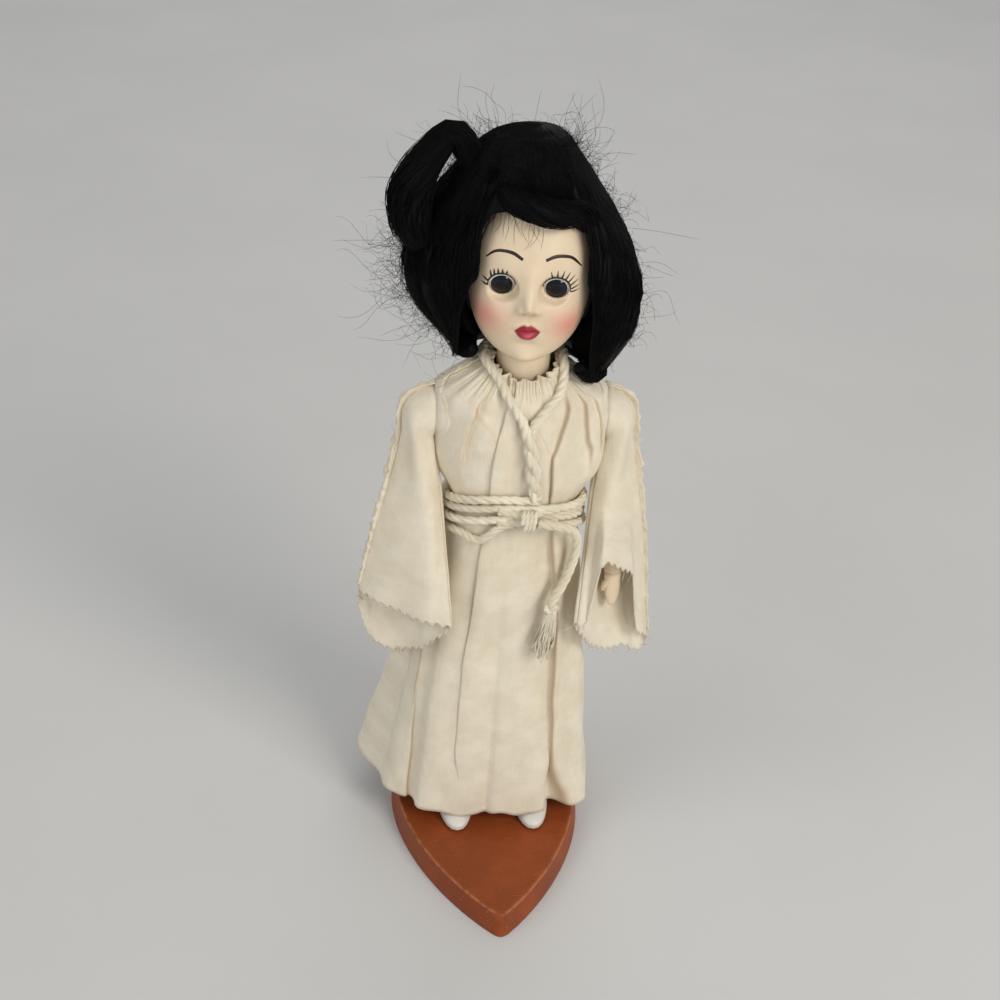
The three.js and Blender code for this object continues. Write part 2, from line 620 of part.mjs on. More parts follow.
// Arms: each hangs inside its sleeve, a little behind the sleeve's middle
const armJoints = (side) => {
  const byDrop = sleeveStations().map((station) => ({ ...station, at: station.drop }));
  const within = (drop, inward, back) => {
    const { x, y } = between(byDrop, drop);
    return vec(side * (x - inward), y + back, SHOULDER_Z - drop);
  };
  const wristDrop = ARM_UPPER + ARM_LOWER;
  return {
    start: vec(side * (SHOULDER_HALF + SEAT_GAP + ARM_SHOULDER_RADIUS - 0.5), 0, SHOULDER_Z),
    armpit: within(0.3 * ARM_UPPER, -0.5, 0.5),
    elbow: within(ARM_UPPER, 0, 0.7),
    wrist: within(wristDrop, 0.3, 1.8),
    tip: within(wristDrop + HAND_LENGTH, 0.3, 2.2),
  };
};

function limbRing(centre, across, along, count) {
  return Array.from({ length: count }, (_, i) => {
    const t = (TAU * i) / count;
    return vec(centre.x + across * Math.sin(t), centre.y - along * Math.cos(t), centre.z);
  });
}

function makeArm(name, side) {
  const { start, armpit, elbow, wrist, tip } = armJoints(side);
  const radius = ARM_SHOULDER_RADIUS;
  const rings = [
    limbRing(start.clone().add(vec(0, 0, 0.8 * radius)), 0.4 * radius, 0.4 * radius, 12),
    limbRing(start.clone().add(vec(0, 0, 0.46 * radius)), 0.8 * radius, 0.8 * radius, 12),
    limbRing(start, radius, radius, 12),
    limbRing(armpit, 0.76 * radius, 0.93 * radius, 12),
    limbRing(elbow, ARM_ELBOW_RADIUS, ARM_ELBOW_RADIUS, 12),
    limbRing(elbow.clone().lerp(wrist, 0.4), ARM_ELBOW_RADIUS, ARM_ELBOW_RADIUS, 12),
    limbRing(wrist, ARM_WRIST_RADIUS, ARM_WRIST_RADIUS, 12),
    limbRing(wrist.clone().lerp(tip, 0.4), 1.5, 2.8, 12),
    limbRing(wrist.clone().lerp(tip, 0.8), 1.2, 2.3, 12),
    limbRing(tip, 0.5, 1, 12),
  ];
  const thumbRoot = wrist.clone().lerp(tip, 0.25).add(vec(0, -1.9, 0));
  const thumbTip = thumbRoot.clone().add(vec(-side * 1, -1.4, -3.4));
  const thumb = tube(new THREE.LineCurve3(thumbRoot, thumbTip), 0.9, 8, 1);
  const face = SHOULDER_HALF + SEAT_GAP;
  const end = face - ARM_PLUG_DEPTH;
  const disc = crossCylinder(ARM_SHOULDER_RADIUS - 0.3, side * face, start.x).translate(0, 0, SHOULDER_Z);
  const plug = crossCylinder(ARM_PLUG_RADIUS, side * end, start.x).translate(0, 0, SHOULDER_Z);
  const chamber = crossCylinder(HOOK_HEAD_RADIUS + TURN_GAP, side * (end + HOOK_WEB), start.x + side * 0.6);
  const wireHole = crossCylinder(HOOK_WIRE_RADIUS + TURN_GAP, side * (end - 1), start.x, 12);
  const within = block(vec(face, -HIDDEN, -HIDDEN), vec(HIDDEN, HIDDEN, HIDDEN));
  const arm = toSolid(loft(rings)).add(toSolid(thumb))
    .intersect(side > 0 ? within : within.mirror([1, 0, 0]))
    .add(toSolid(disc))
    .add(toSolid(plug))
    .subtract(toSolid(chamber.translate(0, 0, SHOULDER_Z)))
    .subtract(toSolid(wireHole.translate(0, 0, SHOULDER_Z)));
  addPart(root, name, toGeometry(arm), FINISHES.skin);
}

// Stringing
function makeStringing() {
  const straight = BAND_HALF_LENGTH - BAND_HALF_WIDTH;
  const steps = 32;
  const centres = Array.from({ length: steps }, (_, i) => {
    const t = (TAU * i) / steps;
    const bend = Math.sign(Math.cos(t)) * straight;
    return vec(bend + BAND_HALF_WIDTH * Math.cos(t), BAND_HALF_WIDTH * Math.sin(t), 0);
  });
  const loop = new THREE.CatmullRomCurve3(centres, true, "centripetal");
  const rows = 24;
  const rings = Array.from({ length: rows }, (_, k) => {
    const centre = loop.getPointAt(k / rows);
    const tangent = loop.getTangentAt(k / rows);
    const outward = vec(tangent.y, -tangent.x, 0);
    return Array.from({ length: 6 }, (__, i) => {
      const t = (TAU * i) / 6;
      const point = centre.clone().addScaledVector(outward, BAND_RADIUS * Math.cos(t));
      return point.setZ(BAND_RADIUS * Math.sin(t) + SHOULDER_Z);
    });
  });
  addPart(root, "stringing_band", closedLoop(rings), FINISHES.rubber);

  const turn = BAND_RADIUS + HOOK_WIRE_RADIUS + SEAT_GAP + 0.1;
  const wireTop = NECK_SEAT_Z + SEAT_GAP - NECK_PLUG_DEPTH + HOOK_WEB;
  const strand = vec(0, BAND_HALF_WIDTH, SHOULDER_Z);
  const neckRoute = [vec(0, 0, wireTop + SEAT_GAP + 0.2), vec(0, 0, SHOULDER_Z + turn + 0.6)];
  for (const angle of [200, 235, 270, 305, 340]) {
    const t = degrees(angle);
    neckRoute.push(strand.clone().add(vec(0, turn * Math.cos(t), turn * Math.sin(t))));
  }
  const headLow = wireTop + SEAT_GAP;
  const neckHead = uprightCylinder(HOOK_HEAD_RADIUS, headLow, headLow + HOOK_HEAD_THICKNESS, 16);
  const neckWire = tube(smoothCurve(neckRoute), HOOK_WIRE_RADIUS, 6, 14);
  addPart(root, "neck_hook", toGeometry(toSolid(neckHead).add(toSolid(neckWire))), FINISHES.wire);

  for (const [name, side] of [["arm_hook_right", -1], ["arm_hook_left", 1]]) {
    const web = SHOULDER_HALF + SEAT_GAP - ARM_PLUG_DEPTH + HOOK_WEB;
    const bandEnd = vec(side * BAND_HALF_LENGTH, 0, SHOULDER_Z);
    const route = [
      vec(side * (web + SEAT_GAP + 0.2), 0, SHOULDER_Z),
      vec(bandEnd.x + side * (turn + 2), 0, SHOULDER_Z),
    ];
    for (const angle of [40, 75, 110, 150, 190, 225]) {
      const t = degrees(angle);
      route.push(bandEnd.clone().add(vec(side * turn * Math.cos(t), 0, turn * Math.sin(t))));
    }
    const outer = web + SEAT_GAP + HOOK_HEAD_THICKNESS;
    const hookHead = crossCylinder(HOOK_HEAD_RADIUS, side * (web + SEAT_GAP), side * outer, 16);
    const wire = tube(smoothCurve(route), HOOK_WIRE_RADIUS, 6, 16);
    const hook = toSolid(hookHead.translate(0, 0, SHOULDER_Z)).add(toSolid(wire));
    addPart(root, name, toGeometry(hook), FINISHES.wire);
  }
}

// A ring of rings, closed on itself.
function closedLoop(rings) {
  const count = rings[0].length;
  const faces = [];
  for (let k = 0; k < rings.length; k += 1) {
    const row = k * count;
    const nextRow = ((k + 1) % rings.length) * count;
    for (let i = 0; i < count; i += 1) {
      const next = (i + 1) % count;
      quad(faces, row + i, row + next, nextRow + next, nextRow + i);
    }
  }
  return closedGeometry(rings.flat(), faces);
}

// Gown: sections by height, and folds that deepen from the belt to the hem
const gownStations = () => {
  const shoulder = GOWN_SHOULDER_HALF;
  const chest = CHEST_DEPTH + CHEST_EASE + CLOTH;
  const waist = WAIST_HALF + WAIST_GATHER + CLOTH;
  const neck = NECK_RADIUS + NECKLINE_EASE + CLOTH;
  const station = (at, right, left, front, back) => ({ at, right, left, front, back });
  const even = (at, half, front, back) => station(at, half, half, front, back);
  const slope = (share) => even(
    lerp(NECKLINE_Z, SHOULDER_Z + ARMHOLE_RADIUS + 0.6, share), lerp(neck, shoulder - 0.2, share),
    lerp(neck, chest - 2.6, share), lerp(neck, chest - 3.4, share),
  );
  const skirt = (share) => station(
    lerp(WAIST_Z, HEM_Z, share), lerp(waist, HEM_RIGHT, share ** 0.9), lerp(waist, HEM_LEFT, share ** 0.9),
    lerp(chest - 0.8, HEM_FRONT, share), lerp(chest - 1.8, HEM_BACK, share ** 0.9),
  );
  return [
    skirt(1), skirt(0.7), skirt(0.4), skirt(0.15), skirt(0.04),
    even(WAIST_Z + 3, waist + 0.1, chest - 0.8, chest - 2.4),
    even(lerp(WAIST_Z, SHOULDER_Z, 0.45), lerp(waist, shoulder, 0.6), chest - 0.2, chest - 3),
    even(SHOULDER_Z - ARMHOLE_RADIUS, shoulder - 0.3, chest, chest - 3),
    even(SHOULDER_Z, shoulder, chest - 1, chest - 3),
    even(SHOULDER_Z + ARMHOLE_RADIUS - 0.8, shoulder - 0.2, chest - 2, chest - 3.2),
    slope(1), slope(0.6), slope(0.3), slope(0),
  ];
};

const HEM_FOLDS = [
  { at: degrees(-120), width: degrees(20), depth: 12 },
  { at: degrees(-98), width: degrees(7), depth: -1.5 },
  { at: degrees(-70), width: degrees(6), depth: -4 },
  { at: degrees(-56), width: degrees(7), depth: 0.6 },
  { at: degrees(-12), width: degrees(6), depth: -1.2 },
  { at: degrees(38), width: degrees(7), depth: 0.5 },
  { at: degrees(56), width: degrees(6), depth: -3.4 },
  { at: degrees(68), width: degrees(7), depth: 1.6 },
  { at: degrees(100), width: degrees(8), depth: -3 },
  { at: degrees(128), width: degrees(10), depth: 2.4 },
  { at: degrees(152), width: degrees(8), depth: -2.6 },
  { at: degrees(178), width: degrees(10), depth: 2.2 },
  { at: degrees(-152), width: degrees(8), depth: -3 },
];

// The cloth's reach from the axis at angle t and height z.
function gownReach(t, z) {
  const section = between(gownStations(), z);
  const low = clamp((WAIST_Z - z) / (WAIST_Z - HEM_Z), 0, 1);
  const folds = HEM_FOLDS.reduce((sum, fold) => {
    const apart = Math.atan2(Math.sin(t - fold.at), Math.cos(t - fold.at));
    return sum + fold.depth * bump(apart, fold.width);
  }, 0);
  return ovalReach(t, { ...section, power: 2.4 }) + folds * low;
}

function gownPanel(from, to, columns) {
  const levels = [1, 0.86, 0.7, 0.54, 0.38, 0.24, 0.12, 0.04].map((share) => lerp(WAIST_Z, HEM_Z, share));
  levels.push(WAIST_Z + 3, lerp(WAIST_Z, SHOULDER_Z, 0.45), SHOULDER_Z - ARMHOLE_RADIUS, SHOULDER_Z);
  levels.push(SHOULDER_Z + ARMHOLE_RADIUS - 0.8, SHOULDER_Z + ARMHOLE_RADIUS + 0.6);
  levels.push(lerp(SHOULDER_Z + ARMHOLE_RADIUS + 0.6, NECKLINE_Z, 0.5), NECKLINE_Z);
  const grid = (inset) => levels.map((z) => Array.from({ length: columns + 1 }, (_, i) => {
    const t = lerp(from, to, i / columns);
    const reach = gownReach(t, z) - inset;
    const seam = SEAT_GAP / 2;
    const point = ovalPoint(t, reach, z);
    if (i === 0 || i === columns) point.y = Math.cos((from + to) / 2) > 0 ? -seam : seam;
    return point;
  }));
  return toSolid(cloth(grid(0), grid(CLOTH), false));
}

function makeGown() {
  const armhole = toSolid(crossCylinder(ARMHOLE_RADIUS, -HIDDEN, HIDDEN, 24).translate(0, 0, SHOULDER_Z));
  const quarter = Math.PI / 2;
  const front = gownPanel(-quarter, quarter, 20).subtract(armhole);
  const back = gownPanel(quarter, 3 * quarter, 20).subtract(armhole);
  addPart(root, "gown_front", toGeometry(front), FINISHES.cotton);
  addPart(root, "gown_back", toGeometry(back), FINISHES.cotton);
}

// Sleeve: rings that turn from the upright armhole to the slanted, nearly level cuff
function makeSleeve(name, side, outerDrop, notch) {
  const stations = sleeveStations();
  const rows = [0, 0.06, 0.13, 0.22, 0.34, 0.5, 0.68, 0.85, 1];
  const count = 22;
  const grid = (inset) => rows.map((row) => {
    const at = between(stations, row);
    const level = Math.sin(at.tilt);
    const outward = vec(side * level * Math.cos(at.slant), level * Math.sin(at.slant), Math.cos(at.tilt));
    const forward = vec(-side * Math.sin(at.slant), -Math.cos(at.slant), 0);
    const centre = vec(side * at.x, at.y, SHOULDER_Z - at.drop);
    return Array.from({ length: count }, (_, i) => {
      const t = (TAU * i) / count;
      const point = centre.clone();
      point.addScaledVector(outward, (at.wide - inset) * Math.cos(t));
      point.addScaledVector(forward, (at.deep - inset) * Math.sin(t));
      const hang = smoothstep(row, 0.4, 1);
      const atBack = Math.max(0, -Math.sin(t));
      const atOutside = Math.max(0, Math.cos(t));
      const pastOutside = smoothstep(t, degrees(38), degrees(62));
      const beforeHand = pastOutside * (1 - smoothstep(t, degrees(98), degrees(118)));
      const drop = CUFF_BACK_DROP * atBack ** 1.3 + outerDrop * atOutside ** 1.3;
      point.z -= hang * (drop - notch * beforeHand);
      return point;
    });
  });
  addPart(root, name, cloth(grid(0), grid(CLOTH), true), FINISHES.cotton);
}

// Cords
const beltLevel = (t) => WAIST_Z - 1.6 + BELT_RISE * Math.cos(t) + 1.2 * Math.sin(t);

// One unbroken winding that climbs a pitch in each turn. Its ends run straight, square to the knot.
function makeBelt() {
  const stepsPerTurn = 24;
  const lift = CORD_RADIUS + SEAT_GAP;
  const centres = [];
  for (let i = 0; i <= BELT_TURNS * stepsPerTurn; i += 1) {
    const t = (TAU * i) / stepsPerTurn;
    const climb = BELT_PITCH * (i / stepsPerTurn - BELT_TURNS / 2);
    const z = beltLevel(t) + climb;
    let reach = 0;
    for (const nearby of [-CORD_RADIUS, 0, CORD_RADIUS]) reach = Math.max(reach, gownReach(t, z + nearby));
    centres.push(ovalPoint(t, reach + lift, z));
  }
  const away = 2 * CORD_RADIUS;
  const first = centres[0].clone().add(vec(-away, 0, 0));
  const last = centres.at(-1).clone().add(vec(away, 0, 0));
  const route = [first, ...centres, last];
  addPart(root, "belt_cord", tubeThrough(route, CORD_RADIUS, 6), FINISHES.cord);
  console.log(`belt_cord: least gap between its turns ${leastSelfGap(route, CORD_RADIUS, 8).toFixed(2)} mm`);
}

// A ring of corners at every point of a route. One axis holds the rings so that they don't twist.
function ringsAlong(route, radiusAt, axis, sides, depth = 1) {
  return route.map((centre, k) => {
    const before = route[Math.max(k - 1, 0)];
    const after = route[Math.min(k + 1, route.length - 1)];
    const tangent = after.clone().sub(before).normalize();
    const across = axis.clone().cross(tangent).normalize();
    const deep = tangent.clone().cross(across);
    const radius = radiusAt(k);
    return Array.from({ length: sides }, (_, i) => {
      const t = (TAU * (i + 0.5)) / sides;
      const point = centre.clone().addScaledVector(across, radius * Math.cos(t));
      return point.addScaledVector(deep, depth * radius * Math.sin(t));
    });
  });
}

const tubeThrough = (route, radius, sides) => loft(ringsAlong(route, () => radius, vec(0, 0, 1), sides));

// The least clear distance between points of a route that lie more than some steps apart along it.
function leastSelfGap(route, radius, apart) {
  let least = Infinity;
  for (let i = 0; i < route.length; i += 1) {
    for (let k = i + apart; k < route.length; k += 1) {
      least = Math.min(least, route[i].distanceTo(route[k]));
    }
  }
  return least - 2 * radius;
}

function makeNeckCord() {
  const collar = NECK_RADIUS + NECKLINE_EASE + CLOTH + SEAT_GAP + CORD_RADIUS;
  const height = NECKLINE_Z;
  const strand = CORD_RADIUS + 0.2;
  const chestY = -(CHEST_DEPTH + CHEST_EASE + CLOTH + SEAT_GAP + CORD_RADIUS);
  const foot = beltLevel(0) + (BELT_TURNS / 2) * BELT_PITCH + CORD_RADIUS + SEAT_GAP;
  const half = (side) => [
    vec(1.6 + side * strand, chestY + 0.5, foot),
    vec(1.6 + side * strand, chestY - 0.4, lerp(foot, SHOULDER_Z, 0.5)),
    vec(1.4 + side * strand, chestY - 0.2, SHOULDER_Z),
    vec(1.2 + side * 1.9, chestY + 0.7, SHOULDER_Z + 6),
    vec(side * 6.6, -collar + 0.6, height - 0.2),
    vec(side * (collar - 0.4), -3.4, height + 0.8),
    vec(side * (collar - 0.2), 3, height + 0.8),
    vec(side * 6.2, collar - 1.6, height + 0.8),
  ];
  const route = [...half(1), vec(0, collar + 0.6, height + 0.8), ...half(-1).reverse()];
  addPart(root, "neck_cord", tube(smoothCurve(route), CORD_RADIUS, 8, 36), FINISHES.cord);
}

// A knot: a squat ball of cord.
const knotForm = (radius) => ball(radius, 10, 7).scale(1.15, 0.8, 1);

function makeTail(name, route, lean) {
  addPart(root, `${name}_cord`, tube(smoothCurve(route), CORD_RADIUS, 8, 12), FINISHES.cord);
  const end = route.at(-1);
  const knot = KNOT_RADIUS * 0.9;
  const knotCentre = end.clone().add(vec(0, 0, -knot - SEAT_GAP));
  addPart(root, `${name}_knot`, ball(knot, 10, 7).translate(...knotCentre.toArray()), FINISHES.cord);
  const top = knotCentre.clone().add(vec(0, 0, -knot - SEAT_GAP));
  const rings = [0, 0.35, 0.7, 1].map((share) => {
    const centre = top.clone().add(lean.clone().multiplyScalar(share)).add(vec(0, 0, -share * TASSEL_LENGTH));
    const radius = lerp(TASSEL_TOP_RADIUS, TASSEL_END_RADIUS, share ** 0.7);
    return limbRing(centre, radius, 0.75 * radius, 12);
  });
  addPart(root, `${name}_tassel`, loft(rings), FINISHES.cord);
}

function makeCords() {
  makeBelt();
  makeNeckCord();
  const beltFront = gownReach(0, WAIST_Z) + SEAT_GAP + 2 * CORD_RADIUS;
  const knot = vec(1.5, -beltFront - SEAT_GAP - 0.8 * KNOT_RADIUS, WAIST_Z + 3.4);
  addPart(root, "belt_knot", knotForm(KNOT_RADIUS).translate(...knot.toArray()), FINISHES.cord);
  const beside = (angle, drop, away) => {
    const t = degrees(angle);
    const z = WAIST_Z - drop;
    return ovalPoint(t, gownReach(t, z) + CORD_RADIUS + SEAT_GAP + away, z);
  };
  const leftTail = [
    knot.clone().add(vec(1.15 * KNOT_RADIUS + SEAT_GAP, 0, -0.4)),
    knot.clone().add(vec(7.5, -0.4, -1)),
    beside(40, 0.3, 5.2),
    beside(46, 6.4, 4.4),
    beside(41, 14.9, 3.3),
    beside(31, 22.3, 3),
  ];
  makeTail("left_tail", leftTail, vec(-1.6, -0.4, 0));
  const rightTail = [
    beside(-82, 7.1, 0.5),
    beside(-83, 16.9, 0.8),
    beside(-85, 24.9, 1.6),
    beside(-86, 31.9, 2.4),
  ];
  makeTail("right_tail", rightTail, vec(-2.6, 0.6, 0));
}

// Wig: a cap on the head and the hair on the cap, in the frame of the head
function faceWindow(grow) {
  const right = -TEMPLE_RIGHT - grow;
  const left = TEMPLE_LEFT + grow;
  const cheek = CHEEK_OPENING_HALF + grow;
  const top = HAIRLINE + grow;
  const outline = new THREE.Shape();
  outline.moveTo(-cheek, -HIDDEN);
  outline.lineTo(cheek, -HIDDEN);
  outline.lineTo(cheek, -7);
  outline.bezierCurveTo(cheek, -3, left, -3, left, 2);
  outline.lineTo(left, top - 8);
  outline.bezierCurveTo(left, top - 2, 0.6 * left, top, 0, top);
  outline.bezierCurveTo(0.5 * right, top, right, top - 1, right, top - 4);
  outline.lineTo(right, 2);
  outline.bezierCurveTo(right, -3, -cheek, -3, -cheek, -7);
  const prism = new THREE.ExtrudeGeometry(outline, { depth: HIDDEN, bevelEnabled: false, curveSegments: 5 });
  return toSolid(prism.rotateX(Math.PI / 2).translate(0, 1, 0));
}

// The space below the hair that the neck, its cord and the gown's shoulders need when the head turns.
function turnSpace() {
  const level = (z) => z - HEAD_Z + HAIR_CLEARANCE;
  const collar = NECK_RADIUS + NECKLINE_EASE + CLOTH + SEAT_GAP + 2 * CORD_RADIUS;
  const shoulderTop = SHOULDER_Z + ARMHOLE_RADIUS;
  const profile = [
    new THREE.Vector2(0, -HIDDEN),
    new THREE.Vector2(HIDDEN, -HIDDEN),
    new THREE.Vector2(HIDDEN, level(shoulderTop)),
    new THREE.Vector2(GOWN_SHOULDER_HALF - 1, level(shoulderTop)),
    new THREE.Vector2(collar + 1, level(NECKLINE_Z + 1)),
    new THREE.Vector2(collar + 0.6, level(NECKLINE_Z + 2.4)),
    new THREE.Vector2(NECK_RADIUS + HAIR_CLEARANCE, level(CHIN_Z + 6)),
    new THREE.Vector2(0, level(CHIN_Z + 6)),
  ];
  return toSolid(new THREE.LatheGeometry(profile, 32).rotateX(Math.PI / 2));
}

function hairForm() {
  const top = HEAD_ABOVE + HAIR_TOP;
  const side = HEAD_HALF + HAIR_SIDE;
  const back = HEAD_BACK + HAIR_BACK;
  const front = HEAD_FRONT + HAIR_FRINGE;
  const station = (at, right, left, ahead, rear) => ({ at, right, left, ahead, rear });
  const stations = [
    station(-34, side - 24, side - 13, front - 11, back - 8),
    station(-28, side - 18, side - 9, front - 10, back - 5),
    station(-20, side - 8.5, side - 4.5, front - 8, back - 2),
    station(-9, side + 0.3, side - 2.4, front - 6, back),
    station(1, side + 1, side - 4, front - 4.4, back),
    station(10, side - 2, side - 8.5, front - 4.2, back - 1.5),
    station(18, side - 7.5, side - 14, front - 5.2, back - 5),
    station(26, side - 13.5, side - 19.5, front - 7.7, back - 11),
    station(top - 1.2, side - 19.5, side - 23.5, front - 12, back - 17.5),
    station(top, side - 24.5, side - 27, front - 15, back - 22),
  ];
  const low = -34;
  const rows = 11;
  return toSolid(loft(Array.from({ length: rows }, (_, k) => {
    const z = lerp(low, top, k / (rows - 1));
    const { right, left, ahead, rear } = between(stations, z);
    return ovalRing({ right, left, front: ahead, back: rear, power: 2.1 }, z, 22);
  })));
}

// A thick lock of hair that stands off the right side of the head as an open loop.
function lockForm() {
  const side = HEAD_HALF + HAIR_SIDE;
  const top = HEAD_ABOVE + HAIR_TOP;
  const route = smoothCurve([
    vec(-side + 15.5, -3.6, top - 11),
    vec(-side + 12.3, -4.5, top - 2.8),
    vec(-side + 9.3, -4.9, top - 0.3),
    vec(-side + 5.4, -6.5, top - 4.8),
    vec(-side + 2.3, -7.9, top - 9.5),
    vec(-side + 0.4, -8.2, top - 15.2),
    vec(-side + 1, -8.2, top - 20.6),
    vec(-side + 4, -7, top - 27),
  ]);
  const widths = [
    { at: 0, radius: 2.6 },
    { at: 0.3, radius: 3.4 },
    { at: 0.65, radius: 5.8 },
    { at: 0.85, radius: 5.6 },
    { at: 1, radius: 3.6 },
  ];
  const count = 13;
  const radiusAt = (k) => between(widths, k / count).radius;
  return toSolid(loft(ringsAlong(route.getSpacedPoints(count), radiusAt, vec(0, 1, 0), 10, LOCK_DEPTH)));
}

// The rolled fringe that crosses the forehead.
function fringeForm() {
  const front = HEAD_FRONT + HAIR_FRINGE;
  const route = smoothCurve([
    vec(-7, -front + 8.2, HAIRLINE + 3.7),
    vec(-4.7, -front + 5.9, HAIRLINE + 2.5),
    vec(0, -front + 4.4, HAIRLINE + 1.4),
    vec(4.9, -front + 5, HAIRLINE),
    vec(10, -front + 9.2, HAIRLINE - 0.7),
    vec(TEMPLE_LEFT + 0.4, -front + 13.1, HAIRLINE - 5.3),
  ]);
  return toSolid(tube(route, 3.3, 8, 10));
}

function makeWig() {
  const capInside = SEAT_GAP + FACET_SAG;
  const capOutside = capInside + WIG_CAP;
  const hairInside = capOutside + SEAT_GAP;
  const aboveNape = block(vec(-HIDDEN, -HIDDEN, -0.7 * HEAD_ABOVE), vec(HIDDEN, HIDDEN, HIDDEN));
  const cap = headForm(capOutside)
    .subtract(headForm(capInside))
    .subtract(faceWindow(1.2))
    .intersect(aboveNape);
  addPart(head, "wig_cap", toGeometry(cap), FINISHES.cap);
  const hair = hairForm()
    .subtract(faceWindow(0))
    .add(lockForm())
    .add(fringeForm())
    .subtract(headForm(hairInside))
    .subtract(turnSpace());
  addPart(head, "wig_hair", toGeometry(hair), FINISHES.hair);
}

makeStand();
makeBody();
makeHead();
makeEyes();
makeArm("arm_right", -1);
makeArm("arm_left", 1);
makeStringing();
makeGown();
makeSleeve("sleeve_right", -1, 0, 0);
makeSleeve("sleeve_left", 1, LEFT_CUFF_OUTER_DROP, LEFT_CUFF_NOTCH);
makeCords();
makeWig();
root.updateMatrixWorld(true);

export default root;
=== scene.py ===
import math

import bpy
import numpy as np
from bpy.props import FloatProperty, FloatVectorProperty, IntProperty, PointerProperty
from mathutils import Matrix, Vector


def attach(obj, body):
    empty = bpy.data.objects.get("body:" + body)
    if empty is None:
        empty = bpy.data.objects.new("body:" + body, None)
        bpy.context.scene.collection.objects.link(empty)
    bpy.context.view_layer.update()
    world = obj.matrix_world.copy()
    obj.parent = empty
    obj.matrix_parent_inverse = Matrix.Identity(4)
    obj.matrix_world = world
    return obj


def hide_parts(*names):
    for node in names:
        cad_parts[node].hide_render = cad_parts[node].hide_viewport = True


bl_info = {
    "name": "Costume doll on a stand",
    "version": (1, 0, 0),
    "blender": (4, 5, 0),
    "location": "3D View > Sidebar > Doll",
    "description": "Dresses the packed doll: stand, body, head, eyes, wig, gown, cords and stage",
    "category": "Object",
}

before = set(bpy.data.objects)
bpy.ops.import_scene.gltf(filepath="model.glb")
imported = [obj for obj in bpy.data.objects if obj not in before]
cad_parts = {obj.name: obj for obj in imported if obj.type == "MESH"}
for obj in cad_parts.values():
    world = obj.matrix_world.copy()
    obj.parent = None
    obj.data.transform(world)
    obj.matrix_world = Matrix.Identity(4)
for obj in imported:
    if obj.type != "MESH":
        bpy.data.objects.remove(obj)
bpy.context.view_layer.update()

# Lengths below are millimetres in the doll's frame, as in the part's source
MM = 0.001
TAU = 2 * math.pi

# Camera: place, what it looks at, roll, lens and sensor
CAMERA_AT = (-51.5, -356.5, 330)
CAMERA_TARGET = (-3.24, 0, 107.67)
CAMERA_ROLL = math.radians(4.2)
CAMERA_LENS = 57.66
SENSOR_WIDTH = 36

# Stage: half the floor, the world, and lamps by name, place and size in metres, power and colour
FLOOR_HALF = 3000
WORLD_COLOUR = (0.97, 0.985, 1, 1)
WORLD_STRENGTH = 0.42
LAMPS = (
    ("key_light", (0.62, -0.8, 0.8), 0.45, 6.4, (1, 0.97, 0.925)),
    ("low_light", (0.4, -1, 0.3), 0.22, 1.7, (1, 0.985, 0.965)),
    ("fill_light", (-0.95, -0.55, 0.75), 0.9, 4.2, (0.95, 0.975, 1)),
    ("back_light", (0.2, 0.95, 0.9), 0.9, 2.6, (1, 1, 1)),
)
LAMPS_AIM = (0, 0, 0.1)

# Levels and reaches of the solids that the pieces replace or lie on
HEAD_Z = 176.2
HEAD_TURN = math.radians(-8)
HEAD_ABOVE = 21
HEAD_BELOW = 23.5
HEAD_HALF = 15.3
HEAD_FRONT = 15.3
HEAD_BACK = 17
HEAD_WALL = 1.6
NECK_FOOT = -30.9
EYE_SPREAD = 6.5
EYE_LEVEL = -0.9
EYE_RADIUS = 4.42
SOCKET_RADIUS = 4.55
LID_RADIUS = 4.95
EYE_DROOP = math.radians(14)
EYE_CENTRE_Y = -8.4
EYE_OPENING_Z = -1.5
EYE_HALF_WIDTH = 3.1
EYE_HALF_HEIGHT = 2.8
FACE_SHIFT = 0.4
LIP_Z = -12.3
SHOULDER_Z = 135.5
SHOULDER_HALF = 21.5
SHOULDER_PIVOT = 23.6
WAIST_Z = 108.924
NECKLINE_Z = 150
HEM_Z = 10.8
ARMHOLE = 6.4
ARMHOLE_CUT = 5.5
ARMHOLE_SIDE = 15
SLEEVE_X = 21.8
SLEEVE_LENGTH = 54
SLEEVE_GIRTH = 9 * TAU
CUFF_HALF_WIDTH = 14
CUFF_HALF_DEPTH = 7.4
CUFF_SLANT = math.radians(33)
CUFF_BACK_DROP = 18
PALM_TURN = math.radians(50)
LEFT_CUFF_OUTER_DROP = 15
LEFT_CUFF_NOTCH = 18
GOWN_CHEST = 14.2
GOWN_WAIST = 16.3
GOWN_NECK = 8.6
HEM_RIGHT = 31
HEM_LEFT = 28
HEM_FRONT = 15.7
HEM_BACK = 26
CORD_RADIUS = 1.1
CORD_FULL = 1.28
CORD_LIFT = 1.4
BELT_TURNS = 4
BELT_PITCH = 2.75
BELT_RISE = 5.2
TAIL_KNOT_RADIUS = 2.07
TAIL_KNOT_DROP = 2.37
TASSEL_LENGTH = 14
KNOT_TURNS = 3.4
NECK_RING_Z = 150.9
SOLE_Z = 6.8
FOOT_SPREAD = 11
STAND_OFFSET = -1.3
STAND_HALF = 27.6
STAND_NOSE = -52.3
STAND_HEEL = 24
HAIR_SIDE = 29.8
HAIR_BACK = 26.5
HAIR_FRONT = 18.7
HAIR_TOP = 32.4
HAIRLINE = 17.3
TEMPLE_RIGHT = 11.9
TEMPLE_LEFT = 13.6
CHEEK_HALF = 16.2

# How far cutting forms reach past the head, and the columns and rows of a sleeve's mesh
CUTTER_REACH = 60
SLEEVE_COLUMNS = 240
SLEEVE_ROWS = 66

